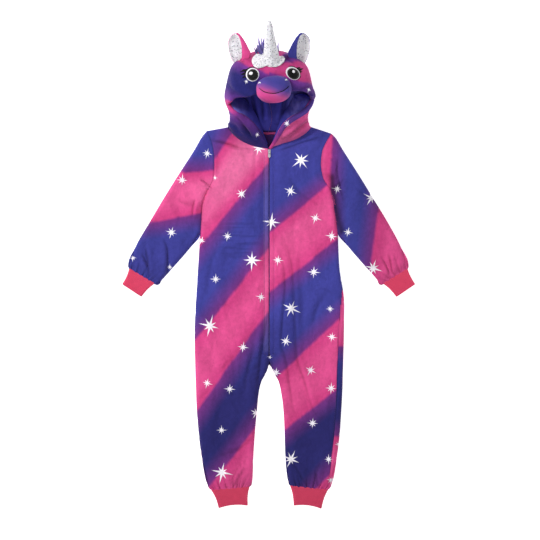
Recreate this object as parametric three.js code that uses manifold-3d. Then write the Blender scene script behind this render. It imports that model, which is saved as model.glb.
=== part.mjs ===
// A child's hooded fleece onesie with a pegasus hood, laid flat on its back.
// Millimetres. +X is the wearer's left, +Y runs up to the hood, +Z points up from the surface it lies on.
import * as THREE from "three";
import { mergeVertices } from "three/addons/utils/BufferGeometryUtils.js";
import Module from "manifold-3d";

const wasm = await Module();
wasm.setup();

// ---------------------------------------------------------------- driving dimensions

const FLEECE = 2.6; // wall of the fleece and of the rib
const LAYER_GAP = 3.4; // air left between front and back where they lie on each other
const SEAM_GAP = 0.3; // between two pieces that are sewn together
const BACK_Z = FLEECE / 2; // middle of the back layer
const FRONT_Z = BACK_Z + FLEECE + LAYER_GAP; // middle of the front layer
const EDGE_Z = (BACK_Z + FRONT_Z) / 2; // where a fold or side seam runs
const ROLL = (FRONT_Z - BACK_Z) / 2; // radius of a folded edge
const FRONT_TOP = FRONT_Z + FLEECE / 2;
const FRONT_INSIDE = FRONT_Z - FLEECE / 2;
const BACK_INSIDE = BACK_Z + FLEECE / 2;

const LINING = 1.8; // wall of the hood lining
const LINING_GAP = 0.3;
const ZIP_HALF = 2.2; // half the slit between the two front edges
const ZIP_TOP = 318;
const ZIP_END = -249;

const SIDES = { right: -1, left: 1 };

const COLOURS = {
  pink: 0xe46399,
  blue: 0x41428f,
  rib: 0xd7466a,
  hoodBlue: 0x2b2877,
  lining: 0x1e206f,
  neckTape: 0xd14a86,
  glitter: 0xd4d3d6,
  muzzle: 0x8a4f95,
  eyeWhite: 0xf4f2f2,
  eyeBlack: 0x101014,
  mane: 0x69618d,
  zipTape: 0x3c3c7c,
  zipMetal: 0xc9cad0,
};

// ---------------------------------------------------------------- tables

// Rows of a table become objects with its column names.
function table(names, rows) {
  return rows.map((row) => Object.fromEntries(names.map((name, i) => [name, row[i]])));
}

const BODY_COLUMNS = ["frontX", "frontY", "backX", "backY", "outX", "outY"];

// Cuts across one half of the body, from the shoulder down. front and back say where each layer starts, at
// the neckline, the zip or the centre back, and out is where both end. X is the distance from the middle.
const SHOULDER = table(BODY_COLUMNS, [
  [115, 376, 115, 376, 171, 366],
  [92, 352, 80, 364, 160, 342],
  [62, 333, 40, 360.5, 153, 310],
  [30, 323, 0, 360, 151, 274],
  [ZIP_HALF, ZIP_TOP, 0, 318, 153, 240],
]);
const UNDERARM = table(BODY_COLUMNS, [[ZIP_HALF, 262, 0, 262, 169, 205]])[0];

const TRUNK_COLUMNS = ["middleY", "outX", "outY"];
const TRUNK = {
  right: table(TRUNK_COLUMNS, [
    [210, 183, 165],
    [110, 188, 95],
    [12, 194, 0],
    [-98, 201, -110],
    [-190, 204, -198],
    [ZIP_END, 203, -255],
  ]),
  left: table(TRUNK_COLUMNS, [
    [210, 183, 165],
    [110, 187, 95],
    [12, 191, 0],
    [-98, 205, -110],
    [-190, 204, -198],
    [ZIP_END, 202.5, -255],
  ]),
};

// Cuts across one leg, from the crotch to the top of the ankle cuff: inseam and outer seam.
const LEG_COLUMNS = ["inX", "inY", "outX", "outY"];
const LEGS = {
  right: table(LEG_COLUMNS, [
    [0, -262, 202.5, -272],
    [8, -285, 202, -293],
    [17, -303, 201.5, -312],
    [26, -322, 200.5, -335],
    [31, -359, 198, -370],
    [35, -400, 195, -408],
    [40, -455, 190.6, -455],
    [44.5, -522, 182, -524],
    [49, -604, 164, -612],
    [56, -612, 155, -621],
  ]),
  left: table(LEG_COLUMNS, [
    [0, -262, 202, -272],
    [8, -285, 201.3, -293],
    [17, -303, 200.8, -312],
    [27, -322, 200.3, -335],
    [35, -359, 198.7, -370],
    [40, -400, 196.5, -408],
    [45, -455, 193, -455],
    [48.5, -522, 185, -524],
    [58, -602, 169, -611],
    [62, -609, 161, -620],
  ]),
};

// Far end of each ankle cuff and wrist cuff: its two folded edges.
const ANKLE_END = {
  right: { inX: 61, inY: -661, outX: 138, outY: -668 },
  left: { inX: 69, inY: -661, outX: 142, outY: -669.5 },
};
const ANKLE_ARCH = 5; // rise of the middle of an ankle cuff's end

// Cuts across a sleeve, from the armhole down: its upper fold and its underarm fold.
const SLEEVE = table(["topX", "topY", "underX", "underY"], [
  [184, 350, 179, 192],
  [205, 314, 188.2, 160],
  [246, 250, 192.5, 103],
  [288, 183, 222, 48],
  [330, 112, 263, 1],
  [370, 46, 298, -39],
  [388, -5, 310.5, -54],
  [384, -12, 318, -51],
]);
const WRIST_END = { topX: 402, topY: -54, underX: 352, underY: -86.5 };

// The hood below the brow, ring by ring from the neck: half width, height of its widest level, and the Y of
// its side and of its middle at the back. Ring 0 is the neckline.
const HOOD_RINGS = table(["half", "sideZ", "sideY", "backY", "leftHalf"], [
  [115, EDGE_Z, 376, 360, 115],
  [111, 16, 386, 366, 112],
  [108, 27, 395, 373, 110],
  [108, 38, 403, 387, 110],
  [108, 48, 411, 401, 111],
  [112, 56, 425, 418, 117],
  [119, 62, 441, 436, 127],
]);
// Edge of the face opening at the end of each ring.
const EDGE_COLUMNS = ["x", "y", "z"];
const FACE_EDGE = {
  right: table(EDGE_COLUMNS, [
    [ZIP_HALF, ZIP_TOP, FRONT_Z],
    [20, 337, 28],
    [42, 362, 48],
    [67, 384, 66],
    [92, 404, 80],
    [110, 425, 72],
    [119, 441, 62],
  ]),
  left: table(EDGE_COLUMNS, [
    [ZIP_HALF, ZIP_TOP, FRONT_Z],
    [22, 340, 28],
    [40, 375, 48],
    [57, 392, 66],
    [86, 412, 82],
    [112, 427, 78],
    [127, 452, 62],
  ]),
};
// Edge of the brow, from the cheek to the middle of the forehead. Its height follows the brow's arch.
const BROW = {
  right: table(["x", "y"], [
    [114, 445], [105, 452], [94, 459], [81, 461], [64, 461], [48, 465], [32, 470], [0, 474],
  ]),
  left: table(["x", "y"], [
    [119, 464], [112, 470], [101, 474], [84, 477], [62, 477], [42, 477], [20, 475.5], [0, 474],
  ]),
};
// The hood above the brow, ring by ring to the crown.
const HEAD_RINGS = table(
  ["half", "leftHalf", "sideY", "sideZ", "topY", "topZ", "floorY", "floorZ"],
  [
    [122, 126, 461, 63, 488, 152, 458, BACK_Z],
    [118, 118, 486, 65, 507, 154, 484, BACK_Z],
    [112, 112, 514, 65, 527, 152, 513, BACK_Z],
    [105, 105, 537, 65, 543, 145, 536, 3],
    [96, 96, 551, 65, 554, 136, 549, 8],
    [75, 74, 568, 65, 567, 121, 563, 20],
    [50, 50, 579, 65, 577, 104, 574, 36],
    [30, 30, 584.5, 65, 582, 92, 580, 46],
    [0, 0, 587, 65, 586, 79, 585, 54],
  ],
);
const BROW_ARCH = { half: 122, leftHalf: 129, sideZ: 62, topZ: 150 };
const FLOOR_SAG = 12; // how far a ring would sink below the surface, which flattens it there
const FLOOR_POWER = 3; // squareness of a ring's lower half
const CROWN_POWER = 2.2; // squareness of its upper half

// ---------------------------------------------------------------- sheets and walls

const vector = (x, y, z) => new THREE.Vector3(x, y, z);
const blend = THREE.MathUtils.lerp;

// A sheet is the middle of a cloth wall: points, and triangles that turn anticlockwise seen from its outside.
// Rows of points form a grid, and closed rows join their ends.
function gridSheet(rows, { flip = false, closed = false } = {}) {
  const columns = rows[0].length;
  const lastColumn = closed ? columns : columns - 1;
  const faces = [];
  for (let row = 0; row + 1 < rows.length; row++) {
    for (let column = 0; column < lastColumn; column++) {
      const next = (column + 1) % columns;
      const [a, b] = [row * columns + column, row * columns + next];
      const [c, d] = [a + columns, b + columns];
      faces.push(flip ? [a, d, b] : [a, b, d], flip ? [a, c, d] : [a, d, c]);
    }
  }
  return { points: rows.flat(), faces };
}

// A round patch: rings of points about a middle point.
function discSheet(middle, rings, flip = false) {
  const spokes = rings[0].length;
  const faces = [];
  for (let i = 0; i < spokes; i++) {
    const next = (i + 1) % spokes;
    faces.push([0, 1 + i, 1 + next]);
    for (let ring = 0; ring + 1 < rings.length; ring++) {
      const start = 1 + ring * spokes;
      faces.push([start + i, start + spokes + i, start + spokes + next]);
      faces.push([start + i, start + spokes + next, start + next]);
    }
  }
  const turned = flip ? faces.map(([a, b, c]) => [a, c, b]) : faces;
  return { points: [middle, ...rings.flat()], faces: turned };
}

const placeKey = (p) => [p.x, p.y, p.z].map((value) => Math.round(value * 1000)).join(" ");

// Joins sheets where their points meet.
function sewn(...sheets) {
  const points = [];
  const faces = [];
  const known = new Map();
  for (const sheet of sheets) {
    const numbers = sheet.points.map((point) => {
      const key = placeKey(point);
      if (!known.has(key)) {
        known.set(key, points.length);
        points.push(point);
      }
      return known.get(key);
    });
    for (const face of sheet.faces) {
      const [a, b, c] = face.map((corner) => numbers[corner]);
      if (a !== b && b !== c && c !== a) faces.push([a, b, c]);
    }
  }
  return { points, faces };
}

function faceNormal(points, [a, b, c]) {
  const along = points[b].clone().sub(points[a]);
  return along.cross(points[c].clone().sub(points[a]));
}

// Gives every sheet the normals of the whole skin, so that neighbouring walls meet edge to edge.
function shareNormals(sheets) {
  const sums = new Map();
  for (const { points, faces } of sheets) {
    for (const face of faces) {
      const normal = faceNormal(points, face);
      for (const corner of face) {
        const key = placeKey(points[corner]);
        if (!sums.has(key)) sums.set(key, vector(0, 0, 0));
        sums.get(key).add(normal);
      }
    }
  }
  for (const sheet of sheets) {
    sheet.normals = sheet.points.map((point) => sums.get(placeKey(point)).clone().normalize());
  }
}

function borderEdges(faces) {
  const edges = new Map();
  for (const face of faces) {
    for (let i = 0; i < 3; i++) {
      const [from, to] = [face[i], face[(i + 1) % 3]];
      edges.set(`${from} ${to}`, { from, to, face });
    }
  }
  return [...edges.values()].filter(({ from, to }) => !edges.has(`${to} ${from}`));
}

// Where each point of a sheet lies once its border is drawn in by inset.
function drawnIn({ points, faces }, inset) {
  const inward = points.map(() => []);
  for (const { from, to, face } of borderEdges(faces)) {
    const along = points[to].clone().sub(points[from]);
    const direction = faceNormal(points, face).cross(along).normalize();
    inward[from].push(direction);
    inward[to].push(direction);
  }
  return points.map((point, i) => {
    if (inward[i].length === 0) return point.clone();
    const middle = vector(0, 0, 0);
    for (const direction of inward[i]) middle.add(direction);
    middle.normalize();
    const slant = Math.max(middle.dot(inward[i][0]), 0.4);
    return point.clone().addScaledVector(middle, inset / slant);
  });
}

function meshGeometry(points, faces) {
  const geometry = new THREE.BufferGeometry();
  const places = points.flatMap((point) => point.toArray());
  geometry.setAttribute("position", new THREE.Float32BufferAttribute(places, 3));
  geometry.setIndex(faces.flat());
  return geometry;
}

// A closed wall between two offsets of a sheet along its normals. The edge of a seam is split the same way on
// both of its pieces, so that their twisted edges lie face to face.
function wall(sheet, outer, inner, inset = SEAM_GAP / 2) {
  const { points, normals, faces } = sheet;
  const middles = drawnIn(sheet, inset);
  const count = middles.length;
  const offset = (distance) => middles.map((p, i) => p.clone().addScaledVector(normals[i], distance));
  const insideFaces = faces.map(([a, b, c]) => [a + count, c + count, b + count]);
  const sideFaces = borderEdges(faces).flatMap(({ from, to }) =>
    placeKey(points[from]) < placeKey(points[to])
      ? [[to, from, to + count], [from, from + count, to + count]]
      : [[to, from, from + count], [to, from + count, to + count]],
  );
  return meshGeometry([...offset(outer), ...offset(inner)], [...faces, ...insideFaces, ...sideFaces]);
}

const clothWall = (sheet) => wall(sheet, FLEECE / 2, -FLEECE / 2);

// ---------------------------------------------------------------- solids

function toSolid(geometry) {
  const bare = geometry.clone();
  for (const name of Object.keys(bare.attributes)) if (name !== "position") bare.deleteAttribute(name);
  const welded = mergeVertices(bare, 1e-4);
  return new wasm.Manifold(
    new wasm.Mesh({
      numProp: 3,
      vertProperties: new Float32Array(welded.attributes.position.array),
      triVerts: new Uint32Array(welded.index.array),
    }),
  );
}

function toGeometry(solid) {
  const mesh = solid.getMesh();
  const geometry = new THREE.BufferGeometry();
  geometry.setAttribute("position", new THREE.BufferAttribute(new Float32Array(mesh.vertProperties), 3));
  geometry.setIndex(new THREE.BufferAttribute(new Uint32Array(mesh.triVerts), 1));
  return geometry;
}

// What is left of a piece when its neighbours, grown by their gap, are cut from it. Crumbs are dropped.
function without(geometry, ...cutters) {
  const rest = cutters.reduce((solid, cutter) => solid.subtract(toSolid(cutter)), toSolid(geometry));
  const pieces = rest.decompose().sort((a, b) => b.volume() - a.volume());
  return toGeometry(pieces[0]);
}

function joined(...geometries) {
  return toGeometry(geometries.map(toSolid).reduce((all, solid) => all.add(solid)));
}

function boxBetween(low, high) {
  const box = new THREE.BoxGeometry(...low.map((value, i) => high[i] - value));
  return box.translate(...low.map((value, i) => (high[i] + value) / 2));
}

// A board with the outline (x, y points) between two heights.
function board(outline, low, high) {
  const shape = new THREE.Shape(outline.map(([x, y]) => new THREE.Vector2(x, y)));
  const geometry = new THREE.ExtrudeGeometry(shape, { depth: high - low, bevelEnabled: false });
  return geometry.translate(0, 0, low);
}

// ---------------------------------------------------------------- rows across the flat garment

const FOLD_SIDEWAYS = [0, 1 - Math.SQRT1_2, 1]; // of ROLL, from the edge in
const FOLD_DROP = [1, 1 - Math.SQRT1_2, 0]; // of ROLL, towards the other layer

// Points across one layer from start to end. Each end turns down into a folded edge as its fold goes from 0
// to 1, and drop lowers the whole row.
function layerRow({ layer, start, end, startFold = 1, endFold = 1, drop = 0, columns }) {
  const length = Math.hypot(end[0] - start[0], end[1] - start[1]);
  const step = length / (columns - 1);
  const last = columns - 1;
  const nearEnd = (i, fold) => blend(i * step, FOLD_SIDEWAYS[i] * ROLL, fold);
  const flatFrom = nearEnd(2, startFold);
  const flatTo = length - nearEnd(2, endFold);
  const points = [];
  for (let i = 0; i < columns; i++) {
    let along = blend(flatFrom, flatTo, (i - 2) / (last - 4));
    let fall = 0;
    if (i < 2) {
      along = nearEnd(i, startFold);
      fall = FOLD_DROP[i] * startFold;
    }
    if (i > last - 2) {
      along = length - nearEnd(last - i, endFold);
      fall = FOLD_DROP[last - i] * endFold;
    }
    const depth = Math.max(fall, drop) * ROLL;
    const z = layer === "front" ? FRONT_Z - depth : BACK_Z + depth;
    points.push(vector(blend(start[0], end[0], along / length), blend(start[1], end[1], along / length), z));
  }
  return points;
}

function mixRows(a, b, part) {
  return Object.fromEntries(Object.keys(a).map((name) => [name, blend(a[name], b[name], part)]));
}

// Three rows that turn an edge: on the edge, half way and where the cloth is flat again.
function turningRows(edge, next, foldName) {
  const distance = Math.hypot(edge.outX - next.outX, edge.outY - next.outY);
  return FOLD_SIDEWAYS.map((part, i) => ({
    ...mixRows(edge, next, (part * ROLL) / distance),
    [foldName]: FOLD_DROP[i],
  }));
}

const BODY_POINTS = 9; // points across half a layer of the body, or across a leg
const SLEEVE_POINTS = 10; // points across a layer of a sleeve: one for each body row along the armhole

// The cuts of one half of the body with what each needs for its folds.
function bodyCuts(side) {
  const shoulder = turningRows(SHOULDER[0], SHOULDER[1], "drop");
  const underarm = turningRows(UNDERARM, SHOULDER.at(-1), "outFold").reverse();
  const trunk = TRUNK[side].map(({ middleY, outX, outY }) => ({
    frontX: ZIP_HALF, frontY: middleY, backX: 0, backY: middleY, outX, outY, outFold: 1,
  }));
  const legs = LEGS[side].map(({ inX, inY, outX, outY }) => ({
    frontX: inX, frontY: inY, backX: inX, backY: inY, outX, outY, inFold: 1, outFold: 1,
  }));
  return [...shoulder, ...SHOULDER.slice(1), ...underarm, ...trunk, ...legs];
}

function bodyRows(side, layer) {
  const sign = SIDES[side];
  return bodyCuts(side).map((cut) =>
    layerRow({
      layer,
      start: [sign * cut[`${layer}X`], cut[`${layer}Y`]],
      end: [sign * cut.outX, cut.outY],
      startFold: cut.inFold ?? 0,
      endFold: cut.outFold ?? 0,
      drop: cut.drop ?? 0,
      columns: BODY_POINTS,
    }),
  );
}

// A front row and a back row joined into a ring.
const ringOf = (front, back) => [...front, ...back.slice(1, -1).reverse()];

// ---------------------------------------------------------------- sleeves and cuffs

function sleeveRing(side, { topX, topY, underX, underY }) {
  const sign = SIDES[side];
  const ends = { start: [sign * topX, topY], end: [sign * underX, underY], columns: SLEEVE_POINTS };
  return ringOf(layerRow({ layer: "front", ...ends }), layerRow({ layer: "back", ...ends }));
}

// How far the sleeve's edge stands off the body at the last points before the underarm, where both fold away.
const UNDERARM_EASE = [0.8, 1.8, 2.7, 3];
const EASE_WAY = { x: 0.94, y: 0.33 }; // square to the body's side, on the left

function armholeRing(side, front, back) {
  const edge = (rows) => rows.slice(0, SLEEVE_POINTS).map((row, i) => {
    const ease = UNDERARM_EASE[i - SLEEVE_POINTS + UNDERARM_EASE.length] ?? 0;
    return row.at(-1).clone().add(vector(SIDES[side] * EASE_WAY.x * ease, EASE_WAY.y * ease, 0));
  });
  return ringOf(edge(front), edge(back));
}

function legRing(side, { inX, inY, outX, outY }, arch = 0) {
  const sign = SIDES[side];
  const ends = { start: [sign * inX, inY], end: [sign * outX, outY], columns: BODY_POINTS };
  const ring = ringOf(layerRow({ layer: "front", ...ends }), layerRow({ layer: "back", ...ends }));
  for (const point of ring) {
    const across = (2 * (Math.abs(point.x) - inX)) / (outX - inX) - 1;
    point.y += arch * (1 - across ** 2);
  }
  return ring;
}

// ---------------------------------------------------------------- hood

// Evenly or unevenly spaced points along a fine line of points: fractions of its length.
function pointsAlong(line, fractions) {
  const lengths = [0];
  for (let i = 1; i < line.length; i++) lengths.push(lengths[i - 1] + line[i].distanceTo(line[i - 1]));
  return fractions.map((fraction) => {
    const target = fraction * lengths.at(-1);
    let i = 1;
    while (i < line.length - 1 && lengths[i] < target) i++;
    const span = lengths[i] - lengths[i - 1];
    return line[i - 1].clone().lerp(line[i], span > 0 ? (target - lengths[i - 1]) / span : 0);
  });
}

function fractionsOf(row) {
  const lengths = [0];
  for (let i = 1; i < row.length; i++) lengths.push(lengths[i - 1] + row[i].distanceTo(row[i - 1]));
  return lengths.map((length) => length / lengths.at(-1));
}

const FINE_STEPS = 40;

// The lower half of a ring, from the middle of the back round to its widest place.
function lowerArc({ half, sideY, sideZ, floorY, floorZ, sag }) {
  const line = [];
  for (let i = 0; i <= FINE_STEPS; i++) {
    const angle = (Math.PI / 2) * (i / FINE_STEPS);
    const out = Math.sin(angle) ** (2 / FLOOR_POWER);
    const down = Math.cos(angle) ** (2 / FLOOR_POWER);
    const z = Math.max(floorZ, sideZ - (sideZ - floorZ + sag) * down);
    line.push(vector(half * out, blend(floorY, sideY, out ** 2), z));
  }
  return line;
}

// The upper half of a ring, from its widest place up to its end.
function upperArc({ half, sideY, sideZ }, end) {
  const line = [];
  for (let i = 1; i <= FINE_STEPS; i++) {
    const angle = (Math.PI / 2) * (i / FINE_STEPS);
    const out = Math.cos(angle) ** (2 / CROWN_POWER);
    const up = Math.sin(angle) ** (2 / CROWN_POWER);
    line.push(vector(blend(end.x, half, out), blend(sideY, end.y, up), blend(sideZ, end.z, up)));
  }
  return line;
}

const spread = (fractions, even) => fractions.map((f, i) => blend(f, i / (fractions.length - 1), even));

function placed(side, line) {
  return line.map((p) => vector(SIDES[side] * p.x, p.y, p.z));
}

const halfOf = (side, ring) => (side === "left" ? ring.leftHalf : ring.half);

// Rings from the neckline to the brow's ends. The first is the neckline that the body gives.
function lowerHoodRows(side, neckline) {
  const neckSpacing = fractionsOf(neckline);
  const rows = HOOD_RINGS.slice(1).map((ring, i) => {
    const shape = { ...ring, half: halfOf(side, ring), floorY: ring.backY, floorZ: BACK_Z, sag: FLOOR_SAG };
    const end = FACE_EDGE[side][i + 1];
    if (side === "left" && i + 2 === HOOD_RINGS.length) shape.sideY = end.y;
    const line = [...lowerArc(shape), ...(end.z > shape.sideZ ? upperArc(shape, end) : [])];
    return pointsAlong(placed(side, line), spread(neckSpacing, Math.min(1, (i + 1) / 3)));
  });
  return [neckline, ...rows];
}

function browPoints(side) {
  const half = halfOf(side, BROW_ARCH);
  const { sideZ, topZ } = BROW_ARCH;
  return BROW[side].map(({ x, y }) => {
    const rise = (1 - (x / half) ** CROWN_POWER) ** (1 / CROWN_POWER);
    return vector(SIDES[side] * x, y, blend(sideZ, topZ, rise));
  });
}

// Rings from the brow to the crown. The first joins the last ring below to the brow's edge.
function upperHoodRows(side, lastRing) {
  const first = [...lastRing, ...browPoints(side)];
  const spacing = fractionsOf(first);
  const rows = HEAD_RINGS.map((ring, i) => {
    const sag = FLOOR_SAG * Math.max(0, 1 - i / 5);
    const shape = { ...ring, half: halfOf(side, ring), sag };
    const line = [...lowerArc(shape), ...upperArc(shape, { x: 0, y: ring.topY, z: ring.topZ })];
    return pointsAlong(placed(side, line), spread(spacing, Math.min(1, (i + 1) / 3)));
  });
  return [first, ...rows];
}

// The neckline of one side, from the centre back round the shoulder to the zip.
function necklineOf(front, back) {
  const backEdge = back.slice(0, 6).map((row) => row[0]);
  const frontEdge = front.slice(1, 7).map((row) => row[0]);
  return [...backEdge.reverse(), ...frontEdge];
}

// ---------------------------------------------------------------- all the cloth

const sheets = {};
const hoodRows = {};
for (const side of Object.keys(SIDES)) {
  const isLeft = side === "left";
  const front = bodyRows(side, "front");
  const back = bodyRows(side, "back");
  sheets[`front_${side}`] = gridSheet(front, { flip: isLeft });
  sheets[`back_${side}`] = gridSheet(back, { flip: !isLeft });

  const rings = [armholeRing(side, front, back), ...SLEEVE.map((cut) => sleeveRing(side, cut))];
  const wrist = [SLEEVE.at(-1), WRIST_END].map((cut) => sleeveRing(side, cut));
  sheets[`sleeve_${side}`] = gridSheet(rings, { flip: !isLeft, closed: true });
  sheets[`wrist_cuff_${side}`] = gridSheet(wrist, { flip: !isLeft, closed: true });

  const ankle = [legRing(side, LEGS[side].at(-1)), legRing(side, ANKLE_END[side], ANKLE_ARCH)];
  sheets[`ankle_cuff_${side}`] = gridSheet(ankle, { flip: isLeft, closed: true });

  const lower = lowerHoodRows(side, necklineOf(front, back));
  const upper = upperHoodRows(side, lower.at(-1));
  hoodRows[side] = { lower, upper };
  sheets[`hood_${side}`] = sewn(gridSheet(lower, { flip: isLeft }), gridSheet(upper, { flip: isLeft }));
}
shareNormals(Object.values(sheets));

const LINED_FROM = 2; // the lining starts at this ring, where the hood stands open

function liningSheet(side) {
  const flip = side === "left";
  const { lower, upper } = hoodRows[side];
  const lining = sewn(gridSheet(lower.slice(LINED_FROM), { flip }), gridSheet(upper, { flip }));
  const outside = sheets[`hood_${side}`];
  const normals = new Map(outside.points.map((point, i) => [placeKey(point), outside.normals[i]]));
  lining.normals = lining.points.map((point) => normals.get(placeKey(point)));
  return lining;
}

// ---------------------------------------------------------------- what is sewn on the hood

const hoodSkin = Object.keys(SIDES).flatMap((side) => {
  const { points, normals, faces } = sheets[`hood_${side}`];
  const outside = points.map((point, i) => point.clone().addScaledVector(normals[i], FLEECE / 2));
  const take = (list, face) => face.map((i) => list[i]);
  return faces.map((face) => ({ corners: take(outside, face), normals: take(normals, face) }));
});

// The highest point of the hood's outside over a place, with the normal there.
function onHood(x, y) {
  let highest = null;
  for (const { corners: [a, b, c], normals } of hoodSkin) {
    const area = (b.x - a.x) * (c.y - a.y) - (b.y - a.y) * (c.x - a.x);
    if (Math.abs(area) < 1e-6) continue;
    const v = ((x - a.x) * (c.y - a.y) - (y - a.y) * (c.x - a.x)) / area;
    const w = ((b.x - a.x) * (y - a.y) - (b.y - a.y) * (x - a.x)) / area;
    if (v < 0 || w < 0 || v + w > 1) continue;
    const z = a.z + v * (b.z - a.z) + w * (c.z - a.z);
    if (highest && highest.point.z >= z) continue;
    const normal = normals[0].clone().multiplyScalar(1 - v - w);
    normal.addScaledVector(normals[1], v).addScaledVector(normals[2], w).normalize();
    highest = { point: vector(x, y, z), normal };
  }
  return highest;
}

// The hood's head filled solid out to its skin and the seam gap, closed across the brow.
function filledHead() {
  const halves = Object.keys(SIDES).map((side) => gridSheet(hoodRows[side].upper, { flip: side === "left" }));
  const head = sewn(...halves);
  const normals = new Map();
  for (const side of Object.keys(SIDES)) {
    const { points, normals: known } = sheets[`hood_${side}`];
    points.forEach((point, i) => normals.set(placeKey(point), known[i]));
  }
  const reach = FLEECE / 2 + SEAM_GAP;
  const skin = head.points.map((p) => p.clone().addScaledVector(normals.get(placeKey(p)), reach));
  const border = borderEdges(head.faces);
  const middle = vector(0, 0, 0);
  for (const { from } of border) middle.addScaledVector(skin[from], 1 / border.length);
  const cap = border.map(({ from, to }) => [to, from, skin.length]);
  return meshGeometry([...skin, middle], [...head.faces, ...cap]);
}
const HEAD = filledHead();

const FACE_TILT = THREE.MathUtils.degToRad(4.5); // the face is turned a little on the hood

// A round patch that follows the hood, sized in X and Y and turned with the face.
function patchOnHood({ x, y, radiusX, radiusY }, spokes = 16, ringSizes = [0.6, 1]) {
  const centre = new THREE.Vector2(x, y);
  const place = (size, angle) => {
    const spot = new THREE.Vector2(size * radiusX * Math.cos(angle), size * radiusY * Math.sin(angle));
    spot.add(centre).rotateAround(centre, FACE_TILT);
    return onHood(spot.x, spot.y);
  };
  const angles = Array.from({ length: spokes }, (_, i) => (2 * Math.PI * i) / spokes);
  const middle = place(0, 0);
  const rings = ringSizes.map((size) => angles.map((angle) => place(size, angle)));
  const sheet = discSheet(middle.point, rings.map((ring) => ring.map(({ point }) => point)));
  sheet.normals = [middle, ...rings.flat()].map(({ normal }) => normal);
  return sheet;
}

const EYE_LIFT = 0.4;
const EYE_WALL = 1.2;
const EYES = {
  right: {
    white: { x: -46.8, y: 523, radiusX: 18.7, radiusY: 18.7 },
    pupil: { x: -45, y: 521.7, radiusX: 14.3, radiusY: 14.3 },
  },
  left: {
    white: { x: 65, y: 528, radiusX: 17.3, radiusY: 18.7 },
    pupil: { x: 65.5, y: 527, radiusX: 13.8, radiusY: 13.8 },
  },
};
const MUZZLE = { x: 12.5, y: 482.5, z: 144, halfWide: 50, halfTall: 40, halfDeep: 44 };
const MUZZLE_POWER = 2.5; // squareness of the muzzle

// The padded muzzle: a ball pressed towards a rounded box.
function muzzleForm(grow = 0) {
  const ball = new THREE.SphereGeometry(1, 28, 18);
  const places = ball.attributes.position;
  for (let i = 0; i < places.count; i++) {
    const p = new THREE.Vector3().fromBufferAttribute(places, i);
    const powers = p.toArray().reduce((sum, value) => sum + Math.abs(value) ** MUZZLE_POWER, 0);
    places.setXYZ(i, ...p.divideScalar(powers ** (1 / MUZZLE_POWER)).toArray());
  }
  const { x, y, z, halfWide, halfTall, halfDeep } = MUZZLE;
  ball.scale(halfWide + grow, halfTall + grow, halfDeep + grow);
  return ball.rotateZ(FACE_TILT).translate(x, y, z);
}

function eyePieces(side) {
  const nose = muzzleForm(SEAM_GAP);
  const whiteSheet = patchOnHood(EYES[side].white);
  const pupilSheet = patchOnHood(EYES[side].pupil);
  const top = EYE_LIFT + EYE_WALL;
  const white = without(wall(whiteSheet, top, EYE_LIFT, 0), HEAD, nose);
  const cover = wall(whiteSheet, top + SEAM_GAP, 0, 0);
  const pupil = without(wall(pupilSheet, top + SEAM_GAP + EYE_WALL, top, 0), HEAD, cover, nose);
  return { white, pupil };
}

// The horn: its radius at fractions of the way from where it is sewn on to its tip.
const HORN_BASE = { x: 2, y: 563 };
const HORN_TIP = vector(0.5, 669.6, 195);
const HORN_SUNK = 16; // how far its form is carried under the hood's skin before it is cut there
const HORN_PROFILE = table(["part", "radius"], [
  [0, 22], [0.1, 21.6], [0.26, 18.5], [0.52, 14.2], [0.77, 9], [0.93, 4.6], [0.985, 2],
]);

function hornForm(grow = 0) {
  const base = onHood(HORN_BASE.x, HORN_BASE.y).point;
  const length = base.distanceTo(HORN_TIP);
  const outline = HORN_PROFILE.map(({ part, radius }) => new THREE.Vector2(radius + grow, part * length));
  const start = [0, HORN_PROFILE[0].radius + grow].map((radius) => new THREE.Vector2(radius, -HORN_SUNK));
  const form = new THREE.LatheGeometry([...start, ...outline, new THREE.Vector2(0, length + grow)], 24);
  const axis = HORN_TIP.clone().sub(base).normalize();
  const turn = new THREE.Quaternion().setFromUnitVectors(vector(0, 1, 0), axis);
  return form.applyQuaternion(turn).translate(base.x, base.y, base.z);
}

// The gathered frill that the horn stands in.
const FRILL = { x: -1, y: 561, radiusX: 46, radiusY: 22 };
const FRILL_WALL = 1.6;

function frill() {
  const sheet = patchOnHood(FRILL, 20, [0.5, 1]);
  return without(wall(sheet, EYE_LIFT + FRILL_WALL, EYE_LIFT, 0), HEAD, hornForm(SEAM_GAP));
}

// An ear: a round-ended leaf rolled into a scoop, sewn on by its foot.
const EAR_SHAPE = table(["part", "half"], [
  [0, 20], [0.15, 25], [0.36, 29], [0.58, 29], [0.78, 24], [0.92, 14.5], [1, 5],
]);
const EAR_SCOOP = THREE.MathUtils.degToRad(58); // half the angle the scoop turns through
const EAR_POINTS = 7;
const EAR_FOOT = { x: 76, y: 546, z: 88 };
const EAR_TIP = { right: { x: 89, y: 636, z: 128 }, left: { x: 87, y: 634, z: 128 } };
const EAR_FACING = vector(0.45, 0, 0.9); // what the scoop opens to, on the left ear
const EAR_CLOTH = 2.3;
const EAR_LINING = 1.5;

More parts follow.
